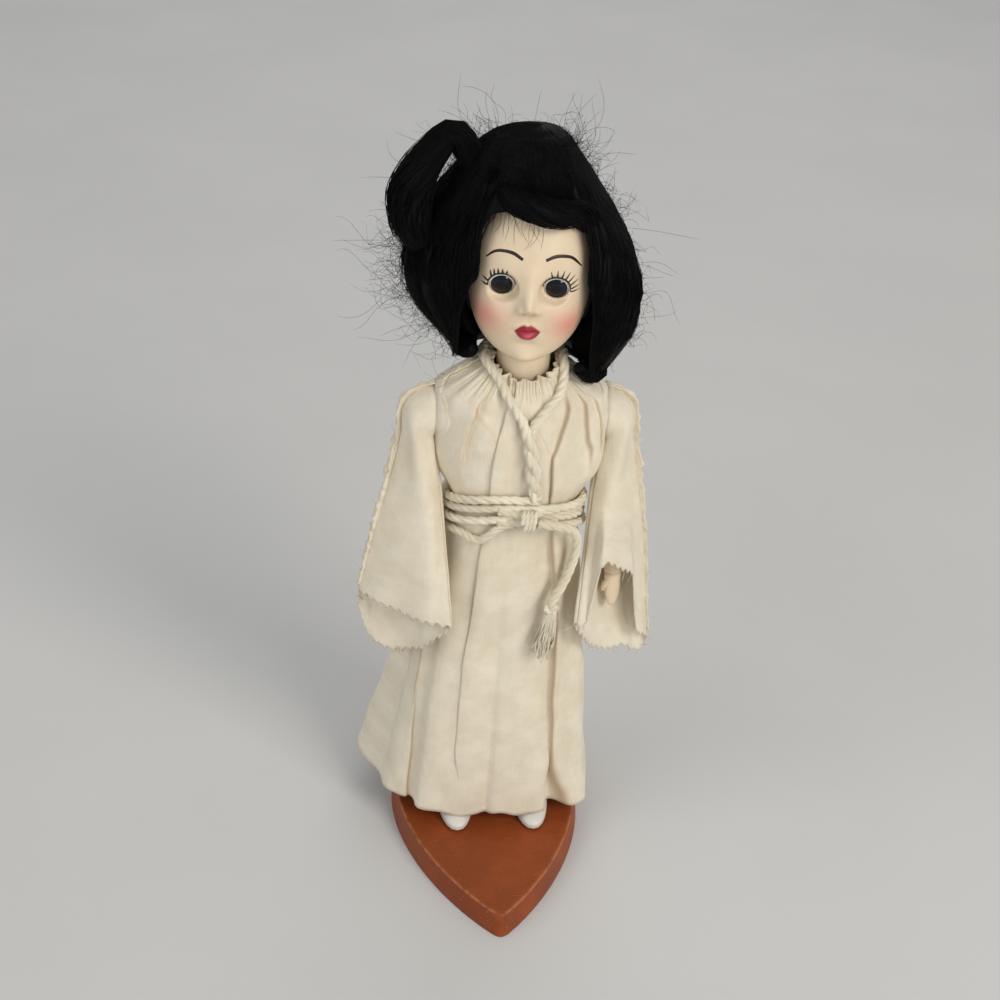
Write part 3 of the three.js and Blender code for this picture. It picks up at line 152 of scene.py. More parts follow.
# Folds of the skirt: direction from the front towards the doll's left, width and depth at the hem
HEM_FOLDS = (
    (-120, 20, 12), (-98, 7, -1.5), (-70, 6, -4), (-56, 7, 0.6), (-12, 6, -1.2), (38, 7, 0.5), (56, 6, -3.4),
    (68, 7, 1.6), (100, 8, -3), (128, 10, 2.4), (152, 8, -2.6), (178, 10, 2.2), (-152, 8, -3),
)

# Pressed pleats: line of (direction, height), side that lies on top, overlap as a share, depth and width
PLEATS = (
    (((-17, 147), (-20, 142), (-22.6, 137), (-25.2, 132), (-27.6, 125), (-29, 117), (-30, 111)),
     -1, 1.7, 0.75, 2.1),
    (((48, 146), (46, 143), (42.4, 138.4), (36, 133), (29.6, 128.6), (29, 125), (32, 118.5), (33, 111)),
     -1, 1.7, 0.75, 2.1),
    (((57, 147), (57.8, 143), (57.8, 138), (58.5, 132), (62.2, 128.7), (61, 123)), -1, 1.7, 0.75, 2.0),
    (((66.7, 147), (65, 144), (68.2, 139), (71, 133), (72, 124)), -1, 1.4, 0.5, 1.8),
    (((12, 138), (16, 135.5), (22, 132), (27, 128.7), (28, 126)), 1, 1.0, 0.35, 2.2),
    (((-54, 144), (-52, 142.8), (-43, 138.4), (-32, 135), (-28, 133)), 1, 0.7, 0.5, 4),
    (((-46, 147), (-48, 140), (-52, 130), (-56, 120)), 1, 1.4, 0.45, 2.6),
    (((-6, 148), (-7, 144), (-9, 138)), 1, 1.0, 0.3, 1.8),
    (((24, 148), (21, 144), (17, 139)), -1, 1.0, 0.3, 1.8),
    (((-31, 108), (-33.7, 103.3), (-35.5, 95.5), (-37.1, 84.4), (-39.8, 65), (-40.8, 51), (-40.4, 34),
      (-37, 23)), -1, 1.7, 0.75, 2.2),
    (((36, 109), (37.8, 107), (39.5, 101), (43.7, 84), (45.7, 64), (46, 51), (50.5, 32), (59, 16), (61, 8)),
     -1, 1.7, 1.4, 3.1),
    (((-84, 86), (-79, 70), (-77, 55), (-76, 42), (-75, 30), (-73, 8)), -1, 1.6, 1.0, 3),
    (((105, 100), (108, 70), (112, 40), (115, 8)), 1, 1.5, 0.9, 4),
    (((165, 100), (163, 70), (160, 40), (158, 8)), -1, 1.5, 0.9, 4),
    (((-140, 100), (-142, 70), (-144, 40), (-146, 8)), 1, 1.5, 0.9, 4),
)

# Raw seams: how high they stand, at heights over the armhole and at places along a sleeve
SHOULDER_SEAM = ((0, 0.1), (1, 0.3), (2.2, 0.95), (4.5, 1.05), (7.5, 0.5))
SLEEVE_SEAM = ((0, 1.0), (0.1, 1.7), (0.35, 1.9), (0.6, 1.5), (1, 0.9))

# Neck cord: direction of its rope at shares of the way down, and (direction, height) of its two strands
NECK_ROPE = ((0, 2.5), (0.25, 6), (0.7, 10), (0.88, 13.5), (1, 15.5))
NECK_STRANDS = (
    ((-2.5, 138.6), (-8, 141), (-14.4, 143.6), (-24, 146.9), (-35, 149.6)),
    ((8, 138.2), (14, 140.1), (22.3, 142.6), (38, 146.2), (55.8, 149.2)),
)

# Sections of the wig: height from the head's middle, then reach to the right, left, front and back
HAIR_SECTIONS = tuple(
    (level, HAIR_SIDE + right, HAIR_SIDE + left, HAIR_FRONT + ahead, HAIR_BACK + rear)
    for level, right, left, ahead, rear in (
        (-34, -24, -13, -11, -8), (-28, -18, -9, -10, -5), (-20, -8.5, -4.5, -8, -2), (-9, 0.3, -2.4, -6, 0),
        (1, 1, -4, -4.4, 0), (10, -2, -8.5, -4.2, -1.5), (18, -7.5, -14, -5.2, -5),
        (26, -13.5, -19.5, -7.7, -11), (31.2, -19.5, -23.5, -12, -17.5), (32.4, -24.5, -27, -15, -22),
    )
)
HAIR_POWER = 2.1

# Room round the neck that the hair keeps free: height from the head's middle and radius
SHOULDER_ROOM = ((-33, 20.5), (-23.9, 12.1), (-16, 11))

# Rolls of hair: points of each route in the head's frame, and half widths at shares of its length
LOCK_ROUTE = (
    (-HAIR_SIDE + 15.5, -3.6, HAIR_TOP - 11), (-HAIR_SIDE + 12.3, -4.5, HAIR_TOP - 2.8),
    (-HAIR_SIDE + 9.3, -4.9, HAIR_TOP - 0.3), (-HAIR_SIDE + 5.4, -6.5, HAIR_TOP - 4.8),
    (-HAIR_SIDE + 2.3, -7.9, HAIR_TOP - 9.5), (-HAIR_SIDE + 0.4, -8.2, HAIR_TOP - 15.2),
    (-HAIR_SIDE + 1, -8.2, HAIR_TOP - 20.6), (-HAIR_SIDE + 4, -7, HAIR_TOP - 27),
)
LOCK_WIDTHS = ((0, 2.6), (0.3, 3.4), (0.65, 5.8), (0.85, 5.6), (1, 3.6))
FRINGE_ROUTE = (
    (-7, -HAIR_FRONT + 8.2, HAIRLINE + 3.7), (-4.7, -HAIR_FRONT + 5.9, HAIRLINE + 2.5),
    (0, -HAIR_FRONT + 4.4, HAIRLINE + 1.4), (4.9, -HAIR_FRONT + 5, HAIRLINE),
    (10, -HAIR_FRONT + 9.2, HAIRLINE - 0.7), (TEMPLE_LEFT + 0.4, -HAIR_FRONT + 13.1, HAIRLINE - 5.3),
)
END_WIDTHS = ((0, 1.6), (0.12, 2.8), (0.85, 2.8), (1, 1.2))
FRINGE_WIDTHS = ((0, 2.6), (0.2, 3.3), (0.85, 3.3), (1, 2.2))

# Thickness of a strand of hair, as a share, along its length
STRAND_TAPER = ((0, 0.6), (0.1, 1), (0.8, 1), (1, 0.35))

# Brows on the doll's right and left: across and up from the head's middle
BROW_LINES = (
    ((-1.9, 6.1), (-4.3, 7.3), (-6.9, 7.35), (-8.8, 6.6), (-10.6, 4.8)),
    ((3.5, 6.2), (5.5, 7), (7.5, 7), (9.7, 6.2), (12, 3.7)),
)
BROW_WIDTHS = (0.85, 1.0, 0.85, 0.65, 0.3)
BROW_LIFT = 0.07

# Lashes on the doll's right and left: angles round the opening, length, how upright they are, and widths
LASHES = (
    ((40, 57, 74, 91, 108, -6, 14), 1.6, 0.8, (0.7, 0.55, 0.15)),
    ((2, 20, 38, 55, 72, 90, 108, -12), 2.2, 0.2, (0.5, 0.4, 0.1)),
)
LASH_LINE_WIDTHS = (0.25, 0.5, 0.55, 0.5, 0.35)
LASH_LIFT = 0.06

# Upper edge of the lips over their parting, at distances from the middle
LIP_EDGE = ((0, 1.7), (0.8, 2.05), (1.7, 1.6), (2.5, 0.8), (3.15, 0))

# Neck, as radius and height from the head's middle
NECK_PROFILE = ((6.5, NECK_FOOT), (6.8, NECK_FOOT + 0.5), (6.7, -24), (6.75, -19), (7.4, -16.5), (7.6, -13))

# Shoe sections: height, half width, toe and heel from the ankle
SHOE_SECTIONS = (
    (SOLE_Z, 4.5, 17.3, 6.4), (7.2, 5, 18, 6.85), (7.8, 5.2, 18.2, 7), (8.9, 5.2, 18, 7),
    (9.8, 4.8, 16.5, 6.9), (10.3, 4.3, 14.5, 6.8), (11.9, 4.4, 9.7, 6.5), (16.7, 4.4, 5.4, 5.7),
)

# Stand from inside its hollow over the rim to its top: inset from the outline and height
STAND_PROFILE = (
    (2.3, 4.3), (2.0, 0.3), (1.8, 0), (0.15, 0), (0, 0.25), (0.4, 1.9), (0.85, 3.9), (1.24, 5.6),
    (1.32, 5.98), (1.4, 6.2), (1.52, 6.36), (1.7, 6.46), (1.95, 6.5), (2.4, 6.5), (3.4, 6.49), (6, 6.47),
    (10, 6.46), (15, 6.46),
)
PEG_PROFILE = ((1.5, 5), (1.5, 10), (1.2, 10.5))
PEG_Y = -5

# Arm and hand: radius or half size at shares of their length
ARM_RADII = ((0, 2.4), (0.05, 3.9), (0.18, 3.35), (0.45, 3.2), (0.6, 3.2), (0.9, 2.5), (1, 2.4))
SHOULDER_BALL = 4.1
HAND_WIDTHS = ((0, 2.4), (0.3, 2.8), (0.55, 2.75), (0.75, 2.3), (0.92, 1.6), (1, 0.7))
HAND_DEPTHS = ((0, 2.3), (0.3, 1.5), (0.55, 1.35), (0.75, 1.2), (0.92, 0.8), (1, 0.35))
THUMB_RADII = ((0, 1), (0.7, 0.85), (0.93, 0.6), (1, 0.25))

# Turned edge of an armhole: radius round the shoulder's middle and how far it stands off the gown
COLLAR_ROWS = ((8.4, 0.05), (8, 0.2), (7.5, 0.32), (7, 0.4))
COLLAR_RUN = (-3.2, -2.4, -1.6, -0.8, 0)


def length_property(name, description, default, least):
    """A length in metres that a user may change."""
    return FloatProperty(name=name, description=description, default=default, min=least, unit="LENGTH")


def colour_property(name, description, default):
    """A colour that a user may change."""
    return FloatVectorProperty(
        name=name, description=description, default=default, min=0, max=1, subtype="COLOR",
    )


class DollSizes(bpy.types.PropertyGroup):
    """Sizes of the dressing that a user may change"""

    cloth: length_property("Cloth", "Thickness of the gown's cotton", 0.00036, 0.0001)
    threads: FloatProperty(
        name="Threads", description="Threads of the weave in a millimetre", default=1.9, min=0.5, max=6,
    )
    pleats: FloatProperty(
        name="Pleats", description="How far the pressed pleats stand, as a share", default=1, min=0, max=1.3,
        subtype="FACTOR",
    )
    tooth_pitch: length_property("Tooth pitch", "Width of a tooth of the pinked cuffs", 0.0028, 0.001)
    tooth_depth: length_property("Tooth depth", "Depth of the teeth of the pinked cuffs", 0.0016, 0)
    cord_lay: length_property("Cord lay", "Length in which the cord's plies turn once", 0.0086, 0.002)
    tassel_yarns: IntProperty(
        name="Tassel yarns", description="Number of loose yarns in a tassel", default=70, min=8, max=120,
    )
    hair_width: length_property("Hair width", "Thickness of one modelled strand of hair", 0.0002, 0.00005)
    hair_strands: IntProperty(
        name="Hair strands", description="Number of strands over the wig", default=2400, min=100, max=3000,
    )
    hair_curls: IntProperty(
        name="Loose hairs", description="Number of loose curly hairs", default=1500, min=0, max=2000,
    )


class DollColours(bpy.types.PropertyGroup):
    """Colours of the dressing that a user may change"""

    stand: colour_property("Stand", "Moulded plastic of the stand", (0.27, 0.058, 0.013))
    # Colour of the stand's scratches, and of the painted highlight along its top rim
    stand_scratch_and_highlight: colour_property("Worn edge", "Rubbed rim of the stand", (0.42, 0.16, 0.06))
    skin: colour_property("Skin", "Ivory plastic of the head and limbs", (0.77, 0.621, 0.437))
    lips: colour_property("Lips", "Paint of the lips", (0.3, 0.006, 0.017))
    blush: colour_property("Blush", "Sprayed tint of the cheeks", (0.78, 0.25, 0.2))
    brows: colour_property("Brows", "Paint of the eyebrows", (0.028, 0.011, 0.006))
    iris: colour_property("Iris", "Iris of the eyes", (0.004, 0.005, 0.008))
    hair: colour_property("Hair", "Fibre of the wig", (0.0028, 0.0025, 0.0028))
    cotton: colour_property("Cotton", "Cloth of the gown", (0.765, 0.69, 0.55))
    cord: colour_property("Cord", "Twisted cotton of belt and neck", (0.77, 0.701, 0.56))
    shoes: colour_property("Shoes", "Paint of the shoes", (0.68, 0.645, 0.585))
    floor: colour_property("Floor", "Pale floor of the stage", (0.62, 0.61, 0.59))


# Curves and sections
def lerp(a, b, share):
    """A value at a share of the way from one to another."""
    return a + (b - a) * share


def smooth(value, low, high):
    """An eased step from 0 at low to 1 at high."""
    share = np.clip((value - low) / (high - low), 0, 1)
    return share * share * (3 - 2 * share)


def bump(distance, width):
    """A bell that is 1 at no distance."""
    return np.exp(-((distance / width) ** 2))


def turned(angle):
    """An angle brought between half a turn back and half a turn on."""
    return np.arctan2(np.sin(angle), np.cos(angle))


def eased(table, at):
    """Values between the rows of a table, whose first column is the place, without corners."""
    table = np.asarray(table, float)
    place, value = table[:, 0], table[:, 1:]
    slope = np.empty_like(value)
    slope[1:-1] = (value[2:] - value[:-2]) / (place[2:] - place[:-2])[:, None]
    slope[0] = (value[1] - value[0]) / (place[1] - place[0])
    slope[-1] = (value[-1] - value[-2]) / (place[-1] - place[-2])
    at = np.asarray(at, float)
    k = np.clip(np.searchsorted(place, at, "right") - 1, 0, len(place) - 2)
    span = (place[k + 1] - place[k])[..., None]
    s = np.clip((at - place[k])[..., None] / span, 0, 1)
    held = (2 * s**3 - 3 * s**2 + 1) * value[k] + (3 * s**2 - 2 * s**3) * value[k + 1]
    return held + ((s**3 - 2 * s**2 + s) * slope[k] + (s**3 - s**2) * slope[k + 1]) * span


def oval_reach(t, left, right, front, back, power):
    """Reach of a rounded oval, with its own reach to each side, at a direction from the front."""
    across = np.abs(np.sin(t)) / np.where(np.sin(t) > 0, left, right)
    along = np.abs(np.cos(t)) / np.where(np.cos(t) > 0, front, back)
    return (across**power + along**power) ** (-1 / power)


def ring_angles(count):
    """Evenly spaced directions once round."""
    return TAU * np.arange(count) / count


def bezier(s, *points):
    """Points of a curve with four control points, at shares of its run."""
    a, b, c, d = (np.array(point, float) for point in points)
    return a * (1 - s) ** 3 + 3 * b * s * (1 - s) ** 2 + 3 * c * s**2 * (1 - s) + d * s**3


def table_at(table, share):
    """Straight steps between the rows of a table of (share, value)."""
    return np.interp(share, *np.array(table, float).T)


def around(t, reach, z):
    """Points at a direction from the front towards +X, a reach from the axis and a height."""
    t, reach, z = np.broadcast_arrays(t, reach, z)
    return np.stack([reach * np.sin(t), -reach * np.cos(t), z], -1)


def run_length(points):
    return np.concatenate([[0], np.cumsum(np.linalg.norm(np.diff(points, axis=0), axis=1))])


def even_path(points, step):
    """Evenly spaced points along a run of points."""
    along = run_length(points)
    places = np.linspace(0, along[-1], max(round(along[-1] / step), 2) + 1)
    return np.stack([np.interp(places, along, points[:, k]) for k in range(3)], -1)


def smooth_path(points, step):
    """Evenly spaced points on a smooth curve through some points."""
    points = np.asarray(points, float)
    ends = np.vstack([2 * points[0] - points[1], points, 2 * points[-1] - points[-2]])
    s = np.linspace(0, 1, 24, endpoint=False)[:, None]
    runs = []
    for a, b, c, d in zip(ends[:-3], ends[1:-2], ends[2:-1], ends[3:]):
        bend = 2 * a - 5 * b + 4 * c - d
        runs.append(b + 0.5 * ((c - a) * s + bend * s**2 + (3 * b - a - 3 * c + d) * s**3))
    return even_path(np.vstack([*runs, points[-1:]]), step)


def unit(vectors):
    return vectors / np.maximum(np.linalg.norm(vectors, axis=-1, keepdims=True), 1e-9)


def ripple(seed, count, across, up):
    """A soft random relief over two coordinates, from a few waves up to the given frequencies."""
    rng = np.random.default_rng(seed)
    waves = [(rng.uniform(0.35, 1) * across, rng.normal(0, up), rng.uniform(0, TAU)) for _ in range(count)]

    def height(t, z):
        total = sum(np.sin(k * t + m * z + phase) for k, m, phase in waves)
        return total / math.sqrt(count)

    return height


# Frame of the head
HEAD_ROTATION = np.array([
    [math.cos(HEAD_TURN), -math.sin(HEAD_TURN), 0],
    [math.sin(HEAD_TURN), math.cos(HEAD_TURN), 0],
    [0, 0, 1],
])


def from_head(points):
    """Points of the head's own frame in the doll's frame."""
    return np.asarray(points, float) @ HEAD_ROTATION.T + np.array([0, 0, HEAD_Z])


def to_head(points):
    """Points of the doll's frame in the head's own frame."""
    return (np.asarray(points, float) - np.array([0, 0, HEAD_Z])) @ HEAD_ROTATION


# Mesh making
class Parts:
    """Gathers the points, faces and UVs of one piece."""

    def __init__(self):
        self.points = []
        self.faces = []
        self.uvs = []
        self.count = 0

    def add(self, points, faces, uvs=None):
        points = np.asarray(points, float).reshape(-1, 3)
        faces = (np.asarray(faces) + self.count).tolist()
        self.faces += faces
        self.uvs += [[(0, 0)] * len(face) for face in faces] if uvs is None else uvs
        self.points.append(points)
        self.count += len(points)

    def grid(self, points, wrap=False, uv=None):
        """A grid of points as quads; wrap joins its last column to its first, and uv then has one more."""
        rows, columns = points.shape[:2]
        steps = columns if wrap else columns - 1
        k, i = (x.ravel() for x in np.meshgrid(np.arange(rows - 1), np.arange(steps), indexing="ij"))
        after = (i + 1) % columns
        low, high = k * columns, (k + 1) * columns
        quads = np.stack([low + i, low + after, high + after, high + i], -1)
        if uv is not None:
            uv = np.stack([uv[k, i], uv[k, i + 1], uv[k + 1, i + 1], uv[k + 1, i]], 1).tolist()
        self.add(points, quads, uv)

    def loft(self, rings, uv=None):
        """A solid skinned over closed rings and capped at both ends."""
        rings = np.asarray(rings, float)
        start = self.count
        rows, columns = rings.shape[:2]
        self.grid(rings, True, uv)
        first = list(range(start, start + columns))
        last = list(range(start + (rows - 1) * columns, start + rows * columns))
        self.faces += [first[::-1], last]
        self.uvs += [[(0, 0)] * columns] * 2

    def tube(self, path, radius, sides=8, squash=1.0):
        """A tube along a path, with a radius for all or each of its points, closed at both ends."""
        radius = np.broadcast_to(radius, (len(path),))
        normal, binormal = carried_frames(path)
        t = ring_angles(sides)
        ring = np.cos(t)[:, None] * normal[:, None] + squash * np.sin(t)[:, None] * binormal[:, None]
        uv = lengths_uv(TAU * radius.max(), sides, run_length(path))
        self.loft(path[:, None] + radius[:, None, None] * ring, uv)

    def cord(self, path, radius, lay, plies=3, sides=8):
        """A loosely twisted cord along a path."""
        path = even_path(path, 0.45)
        normal, binormal = carried_frames(path)
        along = run_length(path)
        slack = 0.35 * np.sin(along / 5.3) + 0.25 * np.sin(along / 2.1 + 1)
        for ply in range(plies):
            turn = TAU * (along / lay + ply / plies) + slack
            off = np.cos(turn)[:, None] * normal + np.sin(turn)[:, None] * binormal
            swell = 1 + 0.06 * np.sin(along / 1.7 + 2.2 * ply)
            self.tube(path + off * radius * 0.4, radius * 0.64 * swell, sides)


def lofted(rings, uv=None):
    """Parts that hold one loft."""
    parts = Parts()
    parts.loft(rings, uv)
    return parts


def lengths_uv(around_length, sides, along):
    """UVs in millimetres for a wrapped grid: round it, then along it."""
    u, v = np.meshgrid(np.linspace(0, around_length, sides + 1), along)
    return np.stack([u, v], -1)


def carried_frames(path):
    """Two directions square to a path at each of its points, carried along without twist."""
    tangent = unit(np.gradient(path, axis=0))
    current = np.array([0, 0, 1.0]) if abs(tangent[0][2]) < 0.8 else np.array([1.0, 0, 0])
    normal = np.empty_like(path)
    for k, direction in enumerate(tangent):
        current = unit(current - direction * (current @ direction))
        normal[k] = current
    return normal, np.cross(tangent, normal)


def strand_parts(parts, paths, radii, sides=3):
    """Many fine closed tubes at once, along paths of equal numbers of points."""
    count, steps = paths.shape[:2]
    tangent = unit(np.gradient(paths, axis=1))
    side = unit(np.cross(tangent, unit(np.array([0.31, 0.23, 0.92]))))
    up = np.cross(tangent, side)
    t = ring_angles(sides)
    ring = np.cos(t)[:, None] * side[:, :, None] + np.sin(t)[:, None] * up[:, :, None]
    points = paths[:, :, None] + radii[:, :, None, None] * ring
    counters = np.meshgrid(np.arange(count), np.arange(steps - 1), np.arange(sides), indexing="ij")
    n, k, j = (x.ravel() for x in counters)
    base = n * steps * sides + k * sides
    on = (j + 1) % sides
    quads = np.stack([base + j, base + on, base + sides + on, base + sides + j], -1)
    step = 1.5
    u, v = n * 7.3 + j, k * step
    uvs = np.stack([np.stack([u + a, v + b], -1) for a, b in ((0, 0), (1, 0), (1, step), (0, step))], 1)
    start = parts.count
    parts.add(points, quads, uvs.tolist())
    first = start + np.arange(count)[:, None] * steps * sides + np.arange(sides)
    caps = np.vstack([first[:, ::-1], first + (steps - 1) * sides]).tolist()
    parts.faces += caps
    parts.uvs += [[(0, 0)] * sides] * len(caps)


def make_piece(name, parts, material, body=None):
    """A Blender object from gathered parts, riding on a body where one is named."""
    mesh = bpy.data.meshes.new(name)
    mesh.from_pydata((np.vstack(parts.points) * MM).tolist(), [], parts.faces)
    layer = mesh.uv_layers.new(name="UVMap")
    layer.data.foreach_set("uv", np.array([p for face in parts.uvs for p in face], np.float32).ravel())
    mesh.shade_smooth()
    mesh.materials.append(material)
    piece = bpy.data.objects.new(name, mesh)
    bpy.context.scene.collection.objects.link(piece)
    if body:
        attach(piece, body)
    return piece


def point_values(piece, name, values):
    """Stores a number at every point of a piece for its material."""
    attribute = piece.data.attributes.new(name, "FLOAT", "POINT")
    attribute.data.foreach_set("value", np.asarray(values, np.float32))


def piece_points(piece):
    """Points of a piece in millimetres."""
    points = np.empty(len(piece.data.vertices) * 3)
    piece.data.vertices.foreach_get("co", points)
    return points.reshape(-1, 3) / MM


def settle(piece):
    """Puts a piece's modifiers into its mesh."""
    graph = bpy.context.evaluated_depsgraph_get()
    mesh = bpy.data.meshes.new_from_object(piece.evaluated_get(graph))
    old = piece.data
    piece.modifiers.clear()
    piece.data = mesh
    bpy.data.meshes.remove(old)


def carve(piece, *cutters, operation="DIFFERENCE"):
    """Cuts closed forms out of a piece, or joins them to it."""
    for parts in cutters:
        cutter = make_piece("cutter", parts, piece.data.materials[0])
        change = piece.modifiers.new("carve", "BOOLEAN")
        change.operation = operation
        change.solver = "MANIFOLD"
        change.object = cutter
        settle(piece)
        bpy.data.objects.remove(cutter)
    piece.data.shade_smooth()


def thicken(piece, thickness):
    """Gives a sheet its thickness, half on either side."""
    change = piece.modifiers.new("thickness", "SOLIDIFY")
    change.thickness = thickness
    change.offset = 0
    settle(piece)


# Node trees
class Net:
    """Short words for building a node tree."""

    def __init__(self, tree):
        self.tree = tree

    def add(self, kind, inputs=None, **settings):
        node = self.tree.nodes.new("ShaderNode" + kind)
        for key, value in settings.items():
            setattr(node, key, value)
        for key, value in (inputs or {}).items():
            self.put(node.inputs[key], value)
        return node

    def put(self, socket, value):
        if isinstance(value, bpy.types.NodeSocket):
            self.tree.links.new(value, socket)
        else:
            socket.default_value = value

    def math(self, operation, a, b=0.0, clamp=False):
        return self.add("Math", {0: a, 1: b}, operation=operation, use_clamp=clamp).outputs[0]

    def mix(self, factor, a, b, blend="MIX"):
        node = self.add("Mix", data_type="RGBA", blend_type=blend)
        for place, value in ((0, factor), (6, a), (7, b)):
            self.put(node.inputs[place], value)
        return node.outputs[2]

    def stain(self, colour, mask, share, other):
        """A colour with a share of another over it where a mask is."""
        return self.mix(self.math("MULTIPLY", mask, share), colour, other)

    def noise(self, vector, scale, detail=3.0, roughness=0.55, distortion=0.0):
        values = {"Vector": vector, "Scale": scale, "Detail": detail, "Roughness": roughness}
        return self.add("TexNoise", {**values, "Distortion": distortion}).outputs["Fac"]

    def stretch(self, vector, scale):
        return self.add("Mapping", {"Vector": vector, "Scale": scale}).outputs[0]

    def ramp(self, value, low, high, start=0.0, end=1.0):
        values = {"Value": value, 1: low, 2: high, 3: start, 4: end}
        return self.add("MapRange", values, interpolation_type="SMOOTHSTEP").outputs[0]

    def bump(self, height, strength, distance):
        return self.add("Bump", {"Height": height, "Strength": strength, "Distance": distance}).outputs[0]

    def value(self, name):
        return self.add("Attribute", attribute_name=name).outputs["Fac"]

    def place(self):
        """The piece's own coordinates in millimetres."""
        return self.stretch(self.add("TexCoord").outputs["Object"], (1 / MM, 1 / MM, 1 / MM))

    def uv(self):
        return self.add("TexCoord").outputs["UV"]

    def group(self, tree, **inputs):
        node = self.add("Group", node_tree=tree)
        for key, value in inputs.items():
            self.put(node.inputs[key.capitalize()], value)
        return node.outputs


def new_group(name, inputs, outputs):
    """A node group with named sockets; returns it, its net, its input sockets and its output sockets."""
    tree = bpy.data.node_groups.new(name, "ShaderNodeTree")
    for socket, kind, value in inputs:
        made = tree.interface.new_socket(name=socket, in_out="INPUT", socket_type="NodeSocket" + kind)
        if value is not None:
            made.default_value = value
    for socket in outputs:
        tree.interface.new_socket(name=socket, in_out="OUTPUT", socket_type="NodeSocketFloat")
    return tree, Net(tree), tree.nodes.new("NodeGroupInput").outputs, tree.nodes.new("NodeGroupOutput").inputs


def shader(name, **constants):
    """A material with a Principled BSDF; returns it, its net and the BSDF's inputs."""
    material = bpy.data.materials.new(name)
    material.use_nodes = True
    inputs = material.node_tree.nodes["Principled BSDF"].inputs
    for key, value in constants.items():
        inputs[key.replace("_", " ").title().replace("Ior", "IOR")].default_value = value
    return material, Net(material.node_tree), inputs


def rgba(colour):
    return (*colour, 1)


def tinted(colour, factor):
    return (*(min(c * f, 1) for c, f in zip(colour, factor)), 1)


# Shared effects
def woven_cotton():
    """Plain weave over UVs in millimetres: thread relief, uneven yarns and soft mottling."""
    name = "Woven cotton"
    if name in bpy.data.node_groups:
        return bpy.data.node_groups[name]
    inputs = (("Cloth", "Vector", None), ("Threads", "Float", 2.0))
    tree, net, given, made = new_group(name, inputs, ("Relief", "Yarn", "Mottle"))
    cloth = given["Cloth"]
    apart = net.add("SeparateXYZ", {0: cloth}).outputs
    wander = net.math("MULTIPLY", net.noise(cloth, 0.4, 2), 1.4)
    waves = []
    for axis in (0, 1):
        turns = net.math("ADD", net.math("MULTIPLY", apart[axis], given["Threads"]), wander)
        waves.append(net.math("SINE", net.math("MULTIPLY", turns, TAU)))
    weave = net.math("MULTIPLY", waves[0], waves[1])
    slubs = [net.noise(net.stretch(cloth, scale), 1, 2) for scale in ((3.6, 0.1, 1), (0.1, 3.6, 1))]
    yarn = net.math("MULTIPLY", net.math("ADD", slubs[0], slubs[1]), 0.5)
    fuzz = net.noise(cloth, 5, 2)
    relief = net.math("ADD", net.math("MULTIPLY", weave, 0.22), net.math("MULTIPLY", yarn, 1.6))
    net.put(made["Relief"], net.math("ADD", relief, net.math("MULTIPLY", fuzz, 0.35)))
    net.put(made["Yarn"], net.ramp(yarn, 0.36, 0.64))
    net.put(made["Mottle"], net.ramp(net.noise(cloth, 0.11, 4, 0.6), 0.36, 0.68))
    return tree


def handling_marks():
    """Grime gathered in soft patches, and hairline scratches, over coordinates in millimetres."""
    name = "Handling marks"
    if name in bpy.data.node_groups:
        return bpy.data.node_groups[name]
    inputs = (("Place", "Vector", None), ("Patch", "Float", 0.12), ("Scratch", "Float", 0.3))
    tree, net, given, made = new_group(name, inputs, ("Grime", "Scratches", "Specks"))
    patch = net.noise(given["Place"], given["Patch"], 5, 0.62)
    net.put(made["Grime"], net.ramp(patch, 0.48, 0.74))
    drawn = net.noise(net.stretch(given["Place"], (0.16, 1.5, 1)), given["Scratch"], 2, 0.5, 0.4)
    streak = net.ramp(drawn, 0.7, 0.74)
    net.put(made["Scratches"], net.math("MULTIPLY", streak, net.ramp(patch, 0.45, 0.6)))
    net.put(made["Specks"], net.ramp(net.noise(given["Place"], 1.7, 1), 0.7, 0.76))
    return tree


def drawn_fibre():
    """Fine fibres that run along UVs in millimetres."""
    name = "Drawn fibre"
    if name in bpy.data.node_groups:
        return bpy.data.node_groups[name]
    inputs = (("Run", "Vector", None), ("Fineness", "Float", 3.0))
    tree, net, given, made = new_group(name, inputs, ("Relief", "Shade"))
    long_run = net.stretch(given["Run"], (1, 0.12, 1))
    fibre = net.noise(long_run, given["Fineness"], 3, 0.6)
    net.put(made["Relief"], fibre)
    net.put(made["Shade"], net.ramp(net.noise(long_run, 0.5, 3), 0.35, 0.68))
    return tree


# Finishes
def colours():
    return bpy.context.scene.doll_colours


def stand_plastic():
    material, net, bsdf = shader("stand_plastic", specular_ior_level=0.28)
    own, scratch_and_highlight = colours().stand, rgba(colours().stand_scratch_and_highlight)
    place = net.place()
    marks = net.group(handling_marks(), Place=place, Patch=0.07, Scratch=0.9)
    cloud = net.noise(place, 0.05, 5, 0.6)
    dull, bright = tinted(own, (0.84, 0.8, 0.78)), tinted(own, (1.16, 1.12, 1.05))
    colour = net.mix(net.ramp(cloud, 0.34, 0.7), dull, bright)
    colour = net.stain(colour, marks["Grime"], 0.35, tinted(own, (0.55, 0.5, 0.5)))
    # Painted highlight: the top rim is lightened where light catches it, broken up by noise
    painted_rim_highlight = net.math("MULTIPLY", net.value("edge"), net.ramp(net.noise(place, 0.35, 4), 0.3, 0.56))
    colour = net.mix(painted_rim_highlight, colour, scratch_and_highlight)
    colour = net.stain(colour, marks["Scratches"], 0.3, scratch_and_highlight)
    colour = net.stain(colour, marks["Specks"], 0.3, (0.6, 0.38, 0.24, 1))
    net.put(bsdf["Base Color"], colour)
    net.put(bsdf["Roughness"], net.ramp(cloud, 0.3, 0.7, 0.36, 0.52))
    grain = net.math("SUBTRACT", net.noise(place, 1.2, 3), net.math("MULTIPLY", marks["Scratches"], 0.4))
    net.put(bsdf["Normal"], net.bump(grain, 0.25, 0.00012))
    return material


